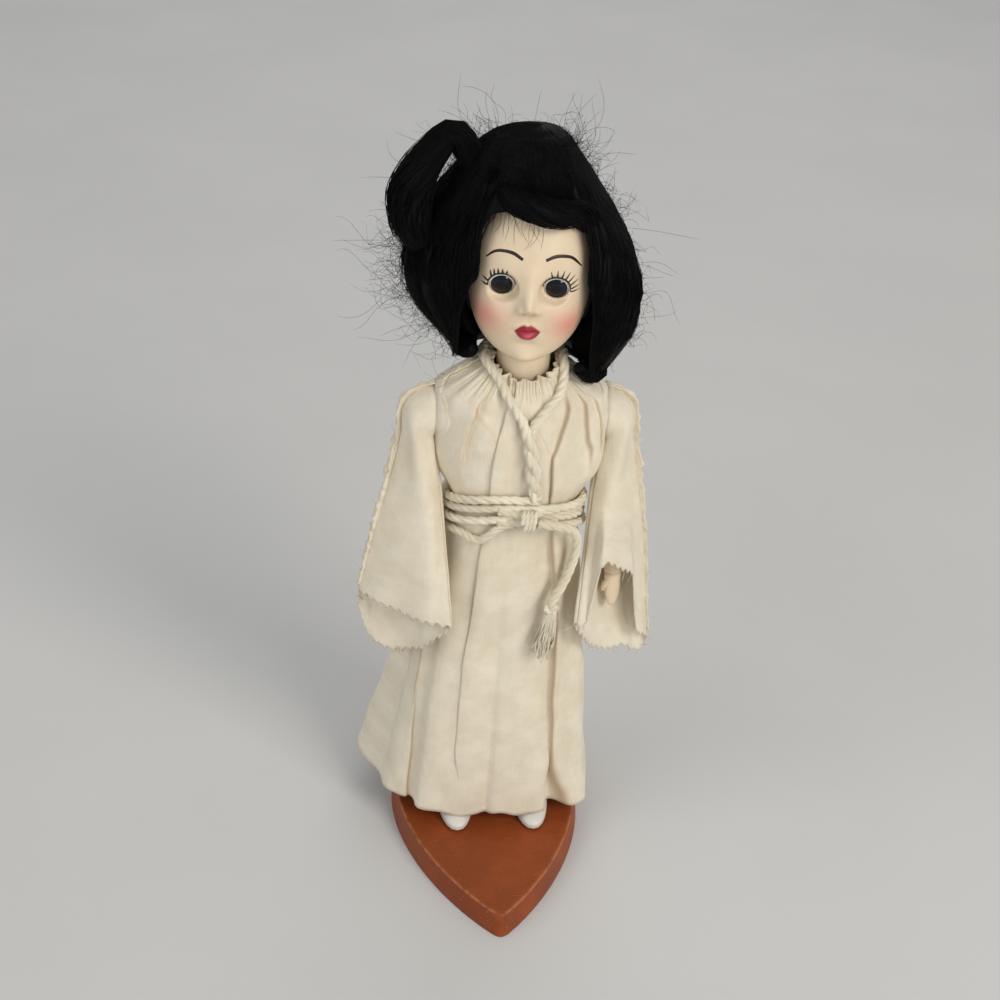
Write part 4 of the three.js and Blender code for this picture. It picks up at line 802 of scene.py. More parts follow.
def skin_plastic():
    material, net, bsdf = shader("skin_plastic", specular_ior_level=0.42)
    own = colours().skin
    place = net.place()
    marks = net.group(handling_marks(), Place=place, Patch=0.09, Scratch=0.4)
    cloud = net.noise(place, 0.09, 4)
    dull, bright = tinted(own, (0.95, 0.94, 0.92)), tinted(own, (1.03, 1.03, 1.04))
    colour = net.mix(net.ramp(cloud, 0.35, 0.68), dull, bright)
    colour = net.stain(colour, marks["Grime"], 0.14, tinted(own, (0.72, 0.62, 0.5)))
    spray = net.math("MULTIPLY", net.value("blush"), net.ramp(net.noise(place, 1.6, 3), 0.1, 0.75, 0.75, 1))
    colour = net.stain(colour, spray, 0.78, rgba(colours().blush))
    # Painted highlight: a pale pink spot in the middle of each lip
    lip = net.mix(net.value("lip_highlight"), rgba(colours().lips), tinted(colours().lips, (2.3, 16, 11)))
    colour = net.mix(net.value("lip"), colour, lip)
    colour = net.mix(net.value("shade"), colour, tinted(own, (0.2, 0.1, 0.08)))
    net.put(bsdf["Base Color"], colour)
    net.put(bsdf["Roughness"], net.ramp(cloud, 0.3, 0.7, 0.4, 0.5))
    net.put(bsdf["Normal"], net.bump(net.noise(place, 1.3, 4), 0.14, 0.0001))
    return material


def eye_glass():
    material, net, bsdf = shader("eye_glass", roughness=0.045, specular_ior_level=0.3)
    run = net.uv()
    angle = net.add("SeparateXYZ", {0: run}).outputs[1]
    streak = net.noise(net.stretch(run, (0.5, 0.03, 1)), 1, 3)
    own, pupil = colours().iris, (0.002, 0.002, 0.003, 1)
    colour = net.mix(net.ramp(streak, 0.35, 0.7), tinted(own, (0.6, 0.6, 0.6)), tinted(own, (2.4, 2.4, 2.6)))
    colour = net.mix(net.ramp(angle, 17, 20), pupil, colour)
    colour = net.mix(net.ramp(angle, 30, 34), colour, pupil)
    white = net.mix(net.noise(net.place(), 0.5, 3), (0.7, 0.7, 0.7, 1), (0.8, 0.79, 0.78, 1))
    colour = net.mix(net.ramp(angle, 35.5, 37.5), colour, white)
    lid = net.value("lid")
    colour = net.mix(net.ramp(lid, 46, 47.5), colour, (0.01, 0.008, 0.008, 1))
    tone = tinted(colours().skin, (0.9, 0.86, 0.84))
    skin = net.mix(net.noise(net.place(), 0.6, 3), tone, rgba(colours().skin))
    net.put(bsdf["Base Color"], net.mix(net.ramp(lid, 51, 52.5), colour, skin))
    return material


def cotton_cloth():
    material, net, bsdf = shader(
        "cotton_cloth", sheen_weight=0.12, sheen_roughness=0.5, specular_ior_level=0.2,
    )
    own = colours().cotton
    weave = net.group(woven_cotton(), Cloth=net.uv(), Threads=bpy.context.scene.doll_sizes.threads)
    place = net.place()
    marks = net.group(handling_marks(), Place=place, Patch=0.05, Scratch=0.2)
    colour = net.mix(weave["Mottle"], tinted(own, (0.93, 0.915, 0.88)), tinted(own, (1.05, 1.05, 1.06)))
    colour = net.stain(colour, weave["Yarn"], 0.22, tinted(own, (1.12, 1.12, 1.12)))
    colour = net.stain(colour, marks["Grime"], 0.22, tinted(own, (0.86, 0.79, 0.66)))
    colour = net.stain(colour, marks["Specks"], 0.18, tinted(own, (0.6, 0.55, 0.45)))
    # Painted shade: creases and pleat lines darkened to a brown tint
    colour = net.stain(colour, net.value("crease_shade"), 0.7, tinted(own, (0.66, 0.5, 0.35)))
    net.put(bsdf["Base Color"], colour)
    net.put(bsdf["Roughness"], net.ramp(weave["Yarn"], 0, 1, 0.95, 0.82))
    net.put(bsdf["Normal"], net.bump(weave["Relief"], 0.5, 0.00022))
    return material


def twisted_cotton():
    material, net, bsdf = shader(
        "twisted_cotton", sheen_weight=0.2, sheen_roughness=0.5, specular_ior_level=0.2,
    )
    own = colours().cord
    fibre = net.group(drawn_fibre(), Run=net.uv(), Fineness=4.0)
    colour = net.mix(fibre["Shade"], tinted(own, (0.86, 0.84, 0.79)), tinted(own, (1.08, 1.08, 1.08)))
    soiled = net.ramp(net.noise(net.place(), 0.12, 4), 0.45, 0.75, 0, 0.4)
    colour = net.mix(soiled, colour, tinted(own, (0.84, 0.78, 0.66)))
    net.put(bsdf["Base Color"], colour)
    net.put(bsdf["Roughness"], net.ramp(fibre["Relief"], 0.3, 0.7, 0.95, 0.8))
    net.put(bsdf["Normal"], net.bump(fibre["Relief"], 0.55, 0.00025))
    return material


def wig_fibre():
    material, net, bsdf = shader("wig_fibre", specular_ior_level=0.1)
    own = colours().hair
    fibre = net.group(drawn_fibre(), Run=net.uv(), Fineness=2.2)
    colour = net.mix(fibre["Shade"], tinted(own, (0.6, 0.6, 0.6)), tinted(own, (1.9, 1.8, 1.8)))
    net.put(bsdf["Base Color"], colour)
    net.put(bsdf["Roughness"], net.ramp(fibre["Relief"], 0.3, 0.7, 0.48, 0.68))
    net.put(bsdf["Normal"], net.bump(fibre["Relief"], 0.4, 0.0003))
    return material


def shoe_paint():
    material, net, bsdf = shader("shoe_paint", specular_ior_level=0.45)
    own = colours().shoes
    place = net.place()
    marks = net.group(handling_marks(), Place=place, Patch=0.16, Scratch=0.5)
    colour = net.stain(rgba(own), marks["Grime"], 0.5, tinted(own, (0.6, 0.55, 0.48)))
    colour = net.stain(colour, marks["Scratches"], 0.5, tinted(own, (0.45, 0.4, 0.35)))
    colour = net.stain(colour, net.value("sole"), 0.7, tinted(own, (0.4, 0.34, 0.3)))
    net.put(bsdf["Base Color"], colour)
    net.put(bsdf["Roughness"], net.ramp(net.noise(place, 0.3, 4), 0.3, 0.7, 0.3, 0.45))
    net.put(bsdf["Normal"], net.bump(net.noise(place, 0.9, 4), 0.2, 0.00012))
    return material


def plain_finish(name, low, high, roughness, scale, metallic=0.0):
    """A finish of two mottled tones with a fine grain."""
    material, net, bsdf = shader(name, metallic=metallic)
    place = net.place()
    cloud = net.noise(place, scale, 4)
    net.put(bsdf["Base Color"], net.mix(net.ramp(cloud, 0.35, 0.68), rgba(low), rgba(high)))
    net.put(bsdf["Roughness"], net.ramp(cloud, 0.3, 0.7, roughness, roughness + 0.14))
    net.put(bsdf["Normal"], net.bump(net.noise(place, 4 * scale, 3), 0.2, 0.0001))
    return material


def brow_paint():
    low = tuple(0.7 * c for c in colours().brows)
    return plain_finish("brow_paint", low, tuple(colours().brows), 0.4, 1.2)


def pale_floor():
    low = tuple(0.97 * c for c in colours().floor)
    return plain_finish("pale_floor", low, tuple(colours().floor), 0.7, 0.01)


FINISHES = {
    make.__name__: make
    for make in (
        stand_plastic, skin_plastic, eye_glass, cotton_cloth, twisted_cotton, wig_fibre, shoe_paint,
        brow_paint, pale_floor,
    )
}

# Plain finishes: darker and lighter tone, roughness, scale of the mottling, and metallic where it is 1
PLAIN_FINISHES = {
    "lash_paint": ((0.006, 0.005, 0.005), (0.016, 0.012, 0.011), 0.35, 1.5),
    "wire_metal": ((0.42, 0.41, 0.4), (0.56, 0.55, 0.54), 0.3, 0.6, 1.0),
    "lead_metal": ((0.12, 0.12, 0.125), (0.2, 0.2, 0.21), 0.55, 0.5, 1.0),
    "band_rubber": ((0.16, 0.11, 0.06), (0.24, 0.17, 0.1), 0.6, 0.5),
    "wig_net": ((0.008, 0.007, 0.007), (0.02, 0.018, 0.018), 0.7, 1.2),
}


def finish(name):
    """The named finish, mixed the first time that it is asked for."""
    if name in bpy.data.materials:
        return bpy.data.materials[name]
    if name in PLAIN_FINISHES:
        return plain_finish(name, *PLAIN_FINISHES[name])
    return FINISHES[name]()


def repaint(node, name):
    """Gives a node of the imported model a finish."""
    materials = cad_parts[node].data.materials
    materials.clear()
    materials.append(finish(name))


# Forms of the gown
def gown_sections():
    """Sections of the gown: height, then reach to the right, left, front and back."""
    rows = []
    for share in (1, 0.7, 0.4, 0.15, 0.04):
        flare = share**0.9
        rows.append((
            lerp(WAIST_Z, HEM_Z, share), lerp(GOWN_WAIST, HEM_RIGHT, flare),
            lerp(GOWN_WAIST, HEM_LEFT, flare), lerp(GOWN_CHEST - 0.8, HEM_FRONT, share),
            lerp(GOWN_CHEST - 1.8, HEM_BACK, flare),
        ))
    even = [
        (WAIST_Z + 3, GOWN_WAIST + 0.1, GOWN_CHEST - 0.8, GOWN_CHEST - 2.4),
        (lerp(WAIST_Z, SHOULDER_Z, 0.45), lerp(GOWN_WAIST, SHOULDER_HALF, 0.6), GOWN_CHEST - 0.2,
         GOWN_CHEST - 3),
        (SHOULDER_Z - ARMHOLE, SHOULDER_HALF - 0.3, GOWN_CHEST, GOWN_CHEST - 3),
        (SHOULDER_Z, SHOULDER_HALF, GOWN_CHEST - 1, GOWN_CHEST - 3),
        (SHOULDER_Z + ARMHOLE - 0.8, SHOULDER_HALF - 0.2, GOWN_CHEST - 2, GOWN_CHEST - 3.2),
    ]
    for share in (1, 0.6, 0.3, 0):
        even.append((
            lerp(NECKLINE_Z, SHOULDER_Z + ARMHOLE + 0.6, share), lerp(GOWN_NECK, SHOULDER_HALF - 0.2, share),
            lerp(GOWN_NECK, GOWN_CHEST - 2.6, share), lerp(GOWN_NECK, GOWN_CHEST - 3.4, share),
        ))
    return rows + [(level, half, half, ahead, rear) for level, half, ahead, rear in even]


GOWN_SECTIONS = gown_sections()
GOWN_POWER = 2.4


def gown_reach(t, z):
    """How far the gown's cloth lies from the doll's axis, before pleats and gathers."""
    t, z = np.broadcast_arrays(np.asarray(t, float), np.asarray(z, float))
    row = eased(GOWN_SECTIONS, z)
    low = np.clip((WAIST_Z - z) / (WAIST_Z - HEM_Z), 0, 1)
    folds = sum(
        depth * bump(turned(t - math.radians(at)), math.radians(wide)) for at, wide, depth in HEM_FOLDS
    )
    return oval_reach(t, row[..., 1], row[..., 0], row[..., 2], row[..., 3], GOWN_POWER) + folds * low


def belt_level(t):
    """Height of the belt's middle, which lies higher in front."""
    return WAIST_Z - 1.6 + BELT_RISE * np.cos(t) + 1.2 * np.sin(t)


# Reliefs of the cloth, over the direction and the height or the place along
GATHERS = ripple(11, 9, 34, 0.04)
FINE_GATHERS = ripple(15, 9, 88, 0.03)
WAIST_GATHERS = ripple(12, 9, 30, 0.05)
BACK_FOLDS = ripple(16, 8, 24, 0.02)
WRINKLES = ripple(13, 10, 8, 0.12)
SLEEVE_WRINKLES = ripple(14, 9, 5, 4.0)


def scoop(t, z):
    """How much lower the front of the neckline lies than its back."""
    return 3.4 * bump(turned(t), math.radians(58)) * smooth(z, 139, NECKLINE_Z + 1)


def gown_cloth(t, z, share):
    """Points of the gown's cloth with pleats, gathers and wrinkles, and how deep each is in a crease, as a
    mask of painted shade.
    """
    reach = gown_reach(t, np.minimum(z, NECKLINE_Z))
    tied = bump(z - belt_level(t), 6.5)
    slide = np.zeros_like(reach)
    lift = np.zeros_like(reach)
    crease_shade = np.zeros_like(reach)
    for line, side, overlap, depth, width in PLEATS:
        angles, levels = np.array(line, float)[::-1].T
        fade = smooth(z, levels[0] - 2, levels[0] + 7) * (1 - smooth(z, levels[-1] - 5, levels[-1] + 1))
        if levels[0] < HEM_Z:
            fade = 1 - smooth(z, levels[-1] - 5, levels[-1] + 1)
        x = turned(t - np.radians(np.interp(z, levels, angles))) * reach / (width / 2)
        slide -= fade * overlap * (width / 2) * x * bump(x, 1)
        lift -= fade * side * depth * np.tanh(2 * x) * bump(x, 3.4)
        # Painted shade along the side of each pleat line that tucks under
        crease_shade += fade * min(1, depth / 0.75) * bump(x + 0.2 * side, 0.36)
    lift = share * lift * (1 - 0.75 * tied)
    neck = smooth(z, 133, NECKLINE_Z)
    behind = smooth(np.abs(turned(t)), 1.75, 2.2) * (1 - 0.8 * tied)
    ruffle = smooth(z, NECKLINE_Z - 0.6, NECKLINE_Z + 1.3)
    neck_gathers = 0.5 * neck**1.5 * GATHERS(t, z) + 0.24 * smooth(z, 142, 148.5) * FINE_GATHERS(t, z)
    waist_gathers = 0.32 * bump(z - belt_level(t), 11) * (1 - 0.6 * tied) * WAIST_GATHERS(t, z)
    wrinkles = 0.3 * (1 - tied) * (1 - neck) * WRINKLES(t, z)
    left_slack = 1.5 * bump(t - math.radians(62), math.radians(16)) * bump(z - 122, 5)
    side_slack = 1.4 * bump(np.abs(turned(t)) - math.radians(82), math.radians(13)) * bump(z - 120, 8)
    back_folds = behind * (0.2 + 0.5 * bump(z - belt_level(t), 22)) * BACK_FOLDS(t, z)
    frill = ruffle * (0.15 + 0.5 * GATHERS(t, z))
    for form in (neck_gathers, waist_gathers, wrinkles, left_slack, side_slack, back_folds, frill):
        lift += form
    return around(t + share * slide / reach, reach + lift, z - scoop(t, z)), np.clip(crease_shade, 0, 1)


def gown_panel(name, start, end, columns, rows, node):
    """One panel of the gown from one side seam to the other."""
    sizes = bpy.context.scene.doll_sizes
    levels = np.concatenate([
        np.linspace(HEM_Z, WAIST_Z - 6, int(rows * 0.58)),
        np.linspace(WAIST_Z - 5, NECKLINE_Z + 1.2, int(rows * 0.42)),
    ])
    t, z = np.meshgrid(np.linspace(start, end, columns), levels)
    hem = 0.5 * np.sin(5 * t + 1) + 0.3 * np.sin(13 * t)
    z = z + hem * bump(z - HEM_Z, 4)
    points, crease_shade = gown_cloth(t, z, sizes.pleats)
    uv = np.stack([(t - (start + end) / 2) * gown_reach(t, np.minimum(z, NECKLINE_Z)), z], -1)
    from_shoulder = np.hypot(points[..., 1], points[..., 2] - SHOULDER_Z)
    hole = (from_shoulder < ARMHOLE_CUT) & (np.abs(points[..., 0]) > ARMHOLE_SIDE)
    cuts = (hole[:-1, :-1] | hole[:-1, 1:] | hole[1:, 1:] | hole[1:, :-1]).ravel()
    parts = Parts()
    parts.grid(points, uv=uv)
    parts.faces = [face for face, cut in zip(parts.faces, cuts) if not cut]
    parts.uvs = [face for face, cut in zip(parts.uvs, cuts) if not cut]
    piece = make_piece(name, parts, finish("cotton_cloth"))
    point_values(piece, "crease_shade", crease_shade.ravel())
    thicken(piece, sizes.cloth)
    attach(piece, "doll")
    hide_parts(node)
    return piece


def sleeve_rows(side, at):
    """Middle, tilt, slant and half sizes of a sleeve at places along it."""
    r, length = ARMHOLE, SLEEVE_LENGTH
    table = (
        (0, SLEEVE_X, 0, 0, 0, 0, r, r),
        (0.1, SLEEVE_X + 0.5 * r, -0.005 * length, 0.05 * length, 0.4, 0, 0.98 * r, 0.98 * r),
        (0.22, SLEEVE_X + 0.57 * r, -0.022 * length, 0.17 * length, 0.75, 0.1, 0.76 * r, 0.95 * r),
        (0.42, SLEEVE_X + 0.66 * r, -0.067 * length, 0.39 * length, 1, 0.4, 1.05 * r, 1.04 * r),
        (0.7, SLEEVE_X + 0.86 * r, -0.145 * length, 0.685 * length, 1, 0.8, 1.6 * r, 1.11 * r),
        (1, SLEEVE_X + r, -0.215 * length, length, 1, 1, CUFF_HALF_WIDTH, CUFF_HALF_DEPTH),
    )
    x, y, drop, tilt, slant, wide, deep = np.moveaxis(eased(table, at), -1, 0)
    return np.stack([side * x, y, SHOULDER_Z - drop], -1), tilt * math.pi / 2, slant * CUFF_SLANT, wide, deep


def sleeve_cloth(side, at, t):
    """Points of a sleeve and the direction in which its cloth faces, at places along and round it."""
    middle, tilt, slant, wide, deep = sleeve_rows(side, at)
    outward = np.stack([side * np.sin(tilt) * np.cos(slant), np.sin(tilt) * np.sin(slant), np.cos(tilt)], -1)
    forward = np.stack([-side * np.sin(slant), -np.cos(slant), 0 * slant], -1)
    radial = outward * np.cos(t)[..., None] + forward * np.sin(t)[..., None]
    flat = np.abs(np.sin(t)) ** lerp(0, 0.5, smooth(at, 0.1, 0.45))
    points = middle + outward * (wide * np.cos(t))[..., None] + forward * (deep * np.sin(t) * flat)[..., None]
    drop = CUFF_BACK_DROP * np.maximum(0, -np.sin(t)) ** 1.3
    if side > 0:
        past_outside = smooth(t, math.radians(32), math.radians(56))
        before_hand = past_outside * (1 - smooth(t, math.radians(100), math.radians(122)))
        drop = drop + LEFT_CUFF_OUTER_DROP * np.maximum(0, np.cos(t)) ** 1.3 - LEFT_CUFF_NOTCH * before_hand
    points[..., 2] -= smooth(at, 0.4, 1) * drop
    return points, unit(radial)


def sleeve_places():
    """Places of a sleeve's rows along it, closer together near the armhole."""
    return np.linspace(0, 1, SLEEVE_ROWS) ** 0.92


def sleeve_grid(side, sizes):
    """A sleeve from the armhole's ring to its pinked cuff, and the pressed fold along its inside, as a groove
    and a mask of painted shade.
    """
    at = sleeve_places()
    at2, t2 = np.meshgrid(at, ring_angles(SLEEVE_COLUMNS), indexing="ij")
    points, facing = sleeve_cloth(side, at2, t2)
    swell = smooth(at2, 0.04, 0.3)
    folds = 0.5 * SLEEVE_WRINKLES(t2, 3 * at2) + 0.4 * np.sin(7 * t2 + 4 * at2 + side) * smooth(at2, 0.3, 1)
    flatter = np.abs(np.sin(t2)) ** 0.7
    points = points + facing * (swell * folds * flatter)[..., None] * (0.5 + 0.7 * at2[..., None])
    # The pressed fold is cut in as a groove and also darkened with painted shade
    fold_groove_and_shade = bump(t2 - math.radians(150), math.radians(3.5)) * smooth(at2, 0.1, 0.3)
    points = points - facing * (0.45 * fold_groove_and_shade)[..., None]
    girth = run_length(np.vstack([points[-1], points[-1][:1]]))
    teeth = round(girth[-1] / (sizes.tooth_pitch / MM))
    wave = 2 * np.abs((girth[:-1] / girth[-1] * teeth) % 1 - 0.5)
    points[-1, :, 2] += sizes.tooth_depth / MM * (wave - 0.5)
    return points, lengths_uv(SLEEVE_GIRTH, SLEEVE_COLUMNS, at * SLEEVE_LENGTH), fold_groove_and_shade


def armhole_collar(side):
    """The turned edge that laps the gown round an armhole, out to the sleeve's first ring."""
    t = ring_angles(SLEEVE_COLUMNS)
    rows = []
    for radius, off in COLLAR_ROWS:
        y, z = -radius * np.sin(t), SHOULDER_Z + radius * np.cos(t)
        row = eased(GOWN_SECTIONS, z)
        depth = np.where(y < 0, row[:, 2], row[:, 3])
        x = row[:, 0] * np.clip(1 - (np.abs(y) / depth) ** GOWN_POWER, 0.001, 1) ** (1 / GOWN_POWER)
        rows.append(np.stack([side * (x + off), y, z], -1))
    rows.append(sleeve_cloth(side, 0 * t, t)[0])
    return np.array(rows), lengths_uv(SLEEVE_GIRTH, SLEEVE_COLUMNS, COLLAR_RUN)


def frayed_strip(base, outward, aside, height, seed):
    """A raw seam edge that stands off the cloth in two splayed leaves."""
    rng = np.random.default_rng(seed)
    parts = Parts()
    along = run_length(base)
    for lean in (-0.36, 0.34):
        zig = 0.5 * np.abs((along / 2.1 + lean) % 1 - 0.5) + rng.normal(0, 0.16, len(base))
        reach = (height * (0.8 + zig))[:, None]
        share = np.array([-0.12, 0.35, 0.7, 1.0])
        wave = (0.3 * np.sin(along * 1.9 + 3 * lean) + 0.25 * np.sin(along * 0.7 + lean))[:, None]
        leaf = [base + outward * reach * s + aside * (lean * 2.4 * s * abs(s) + wave * s) for s in share]
        uv = np.stack(np.broadcast_arrays(share * height[:, None], along[:, None]), -1)
        parts.grid(np.stack(leaf, 1), uv=uv)
    return parts


def threads(parts, base, outward, count, length, radius, seed):
    """Loose threads that stand off a raw edge."""
    rng = np.random.default_rng(seed)
    k = rng.integers(0, len(base), count)
    way = unit(outward[k] + rng.normal(0, 0.55, (count, 3)))
    s = np.linspace(0, 1, 7)[None, :, None]
    bend = rng.normal(0, 0.9, (count, 1, 3))
    paths = base[k][:, None] + way[:, None] * s * rng.uniform(0.5, 1, (count, 1, 1)) * length + bend * s**2
    strand_parts(parts, paths, np.full((count, 7), radius))


# Forms of the head
def round_off(share, power):
    """Height of a rounded end at a share of the way out to it."""
    return np.maximum(1 - share**power, 0) ** (1 / power)


def head_halves(z, grow=0.0):
    """Half width, front and back of the head at a height in its own frame."""
    low = z < 0
    share = np.minimum(np.abs(z) / (np.where(low, HEAD_BELOW, HEAD_ABOVE) + grow), 1)
    return (
        (HEAD_HALF + grow) * np.where(low, round_off(share, 2.4), round_off(share, 2.1)),
        (HEAD_FRONT + grow) * np.where(low, round_off(share, 3.2), round_off(share, 2.2)),
        (HEAD_BACK + grow) * round_off(share, 2),
    )


def face_relief(x, z):
    """How far the features stand out from the plain form of the face."""
    side = np.abs(x)
    across = x - FACE_SHIFT
    nose = 0.9 * bump(across, 2.1) * bump(z - 0.4, 4.6)
    nose = nose + 3.2 * bump(across, 2.1) * bump(z + 5.1, np.where(z > -5.1, 3.3, 1.9))
    nose = nose + 1.15 * bump(np.abs(across) - 2.3, 0.85) * bump(z + 6.3, 1.1)
    rise = z - LIP_Z
    lips = 0.8 * bump(across, 2.4) * bump(rise - 1.1, 0.95) + bump(across, 2.1) * bump(rise + 1.1, 1.0)
    lips = lips - 0.4 * bump(across, 2.7) * bump(rise, 0.34)
    lips = lips - 0.25 * bump(across, 0.6) * bump(rise - 3.2, 1.1)
    chin = 2.4 * bump(x, 4.2) * bump(z + HEAD_BELOW - 2.8, 2.4)
    chin = chin - 0.35 * bump(across, 2.6) * bump(rise + 3.8, 0.9)
    cheek = 0.8 * bump(side - 8.2, 3.6) * bump(z + 8, 3.6)
    socket = 1.2 * bump(side - EYE_SPREAD, 3.4) * bump(z - EYE_LEVEL, 2.8)
    return nose + lips + chin + cheek - socket + 0.05 * bump(eye_share(x, z) - 1.3, 0.16)


def eye_share(x, z):
    """Distance from the nearer eye as a share of its opening, which is 1 on the rim."""
    return np.hypot((np.abs(x) - EYE_SPREAD) / EYE_HALF_WIDTH, (z - EYE_OPENING_Z) / EYE_HALF_HEIGHT)


def lidded(x, z, y):
    """The face's surface, drawn in round the openings so that lids lie close on the eyes."""
    share = np.maximum(eye_share(x, z), 1)
    rise = (z - EYE_OPENING_Z) / share + EYE_OPENING_Z - EYE_LEVEL
    off = np.hypot((np.abs(x) - EYE_SPREAD) / share, rise)
    lid = EYE_CENTRE_Y - np.sqrt(np.maximum(LID_RADIUS**2 - off**2, 1))
    return lerp(lid, y, smooth(share, 1.02, 1.45))


def face_y(x, z):
    """Where the face's surface lies at places across and up it."""
    half, ahead, _ = head_halves(z)
    plain = -ahead * np.maximum(1 - (np.abs(x) / np.maximum(half, 0.01)) ** 2.2, 0) ** (1 / 2.2)
    return lidded(x, z, plain - smooth(-plain, 2, 8) * face_relief(x, z))


def head_form(grow, columns, rows, relief):
    """Rings of the head's form, grown or shrunk, in its own frame."""
    rise = -np.cos(np.linspace(0.035, math.pi - 0.035, rows))
    z = rise * (np.where(rise < 0, HEAD_BELOW, HEAD_ABOVE) + grow)
    t = ring_angles(columns)
    t = t - 0.45 * np.sin(t)
    t2, z2 = np.meshgrid(t, z)
    half, ahead, rear = head_halves(z2, grow)
    points = around(t2, oval_reach(t2, half, half, ahead, rear, 2.2), z2)
    x, y = points[..., 0], points[..., 1]
    if relief:
        shaped = lidded(x, z2, y - smooth(-y, 2, 8) * face_relief(x, z2))
        points[..., 1] = np.where(y < 0, shaped, y)
    elif grow < 0:
        behind = np.maximum(y, EYE_CENTRE_Y)
        points[..., 1] = lerp(behind, y, smooth(eye_share(x, z2), 1.6, 2.3))
    return points


def lathe(profile, columns, centre=(0, 0)):
    """Rings of a turned form from pairs of radius and height."""
    t = ring_angles(columns)
    return np.array([
        np.stack([centre[0] + r * np.sin(t), centre[1] - r * np.cos(t), np.full(columns, float(z))], -1)
        for r, z in profile
    ])


def paint_stroke(parts, line, widths, lift):
    """A domed stroke of paint laid on the face along a line of (across, up)."""
    line = np.asarray(line, float)
    flat = smooth_path(np.column_stack([line[:, 0], 0 * line[:, 0], line[:, 1]]), 0.25)[:, [0, 2]]
    share = np.linspace(0, 1, len(flat))
    width = np.interp(share, np.linspace(0, 1, len(widths)), widths) / 2
    way = unit(np.gradient(flat, axis=0))
    across = np.array([-1, -0.7, 0, 0.7, 1])
    x = flat[:, :1] - way[:, 1:] * width[:, None] * across
    z = flat[:, 1:] + way[:, :1] * width[:, None] * across
    y = face_y(x, z) - lift * np.array([-0.5, 0.7, 1, 0.7, -0.5])
    parts.grid(from_head(np.stack([x, y, z], -1)))


def eye_rim(side, angles, grow):
    """Places round an eye's opening; angles run from outward over the top to inward."""
    angles = np.radians(angles)
    return np.column_stack([
        side * (EYE_SPREAD + grow * EYE_HALF_WIDTH * np.cos(angles)),
        EYE_OPENING_Z + grow * EYE_HALF_HEIGHT * np.sin(angles),
    ])


# Forms of the wig
def hair_reach(t, z):
    """How far the wig's mass reaches from the head's axis."""
    row = eased(HAIR_SECTIONS, z)
    return oval_reach(t, row[..., 1], row[..., 0], row[..., 2], row[..., 3], HAIR_POWER)


def face_window(reach_back):
    """The opening of the wig in front of the face, as rings from front to back in the head's frame."""
    s = np.linspace(0, 1, 10)[:, None]
    left, right, cheek, top = TEMPLE_LEFT, -TEMPLE_RIGHT, CHEEK_HALF, HAIRLINE
    line = np.vstack([
        [(cheek, -CUTTER_REACH)], bezier(s, (cheek, -7), (cheek, -3), (left, -3), (left, 2)),
        bezier(s, (left, top - 8), (left, top - 2), (0.6 * left, top), (0, top)),
        bezier(s, (0, top), (0.5 * right, top), (right, top - 1), (right, top - 4))[1:],
        bezier(s, (right, 2), (right, -3), (-cheek, -3), (-cheek, -7)), [(-cheek, -CUTTER_REACH)],
    ])
    ends = (reach_back, -CUTTER_REACH)
    return np.array([np.stack([line[:, 0], np.full(len(line), y), line[:, 1]], -1) for y in ends])


def rolled_line(route):
    """A route of hair with its corners rounded."""
    path = smooth_path(route, 0.4)
    for _ in range(24):
        path[1:-1] = (path[:-2] + 2 * path[1:-1] + path[2:]) / 4
    return path


def bundle(route, widths, count, steps, twist, seed, deep):
    """Paths of strands that run together along a route, turning round it."""
    rng = np.random.default_rng(seed)
    path = rolled_line(route)
    path = even_path(path, run_length(path)[-1] / (steps - 1))
    normal, binormal = carried_frames(path)
    share = np.linspace(0, 1, len(path))
    angle = rng.uniform(0, TAU, count)[:, None] + twist * TAU * share
    angle = angle + 0.35 * np.sin(5 * share + rng.uniform(0, TAU, (count, 1)))
    spread = table_at(widths, share) * np.sqrt(rng.uniform(0.4, 1.12, count))[:, None]
    spread = spread * (1 + 0.05 * np.sin(9 * share + rng.uniform(0, TAU, (count, 1))))
    off = np.cos(angle)[..., None] * normal + deep * np.sin(angle)[..., None] * binormal
    return path + off * spread[..., None] + rng.normal(0, 0.12, (count, 1, 3))


def shoulder_room(z):
    """Radius round the neck that the hair keeps free, so that the head can turn."""
    return table_at(SHOULDER_ROOM, z)


def hair_foot(t):
    """How low the hair hangs at a direction before it meets the room for the shoulders."""
    z = np.linspace(-34, -14, 60)
    clear = hair_reach(t[:, None], z[None]) * 0.97 > shoulder_room(z) + 0.5
    return z[np.argmax(clear, axis=1)]


def end_roll(first, last):
    """Route of the hair's ends, rolled under along its lower edge between two directions."""
    t = np.radians(np.linspace(first, last, 12))
    z = hair_foot(t) + 2.2
    return around(t, np.maximum(hair_reach(t, z) - 2.3, shoulder_room(z) + 1.2), z)


def window_half(x, z):
    """Half width of the face's opening at a height, on the side of x."""
    cheek = ((-8, CHEEK_HALF), (-6, 15.8))
    left = ((2, TEMPLE_LEFT), (10, TEMPLE_LEFT), (14, 12.4), (16.6, 8), (HAIRLINE, 0))
    right = ((2, TEMPLE_RIGHT), (13.5, TEMPLE_RIGHT), (15.6, 10), (HAIRLINE, 0))
    return np.where(x > 0, table_at(cheek + left, z), table_at(cheek + right, z))


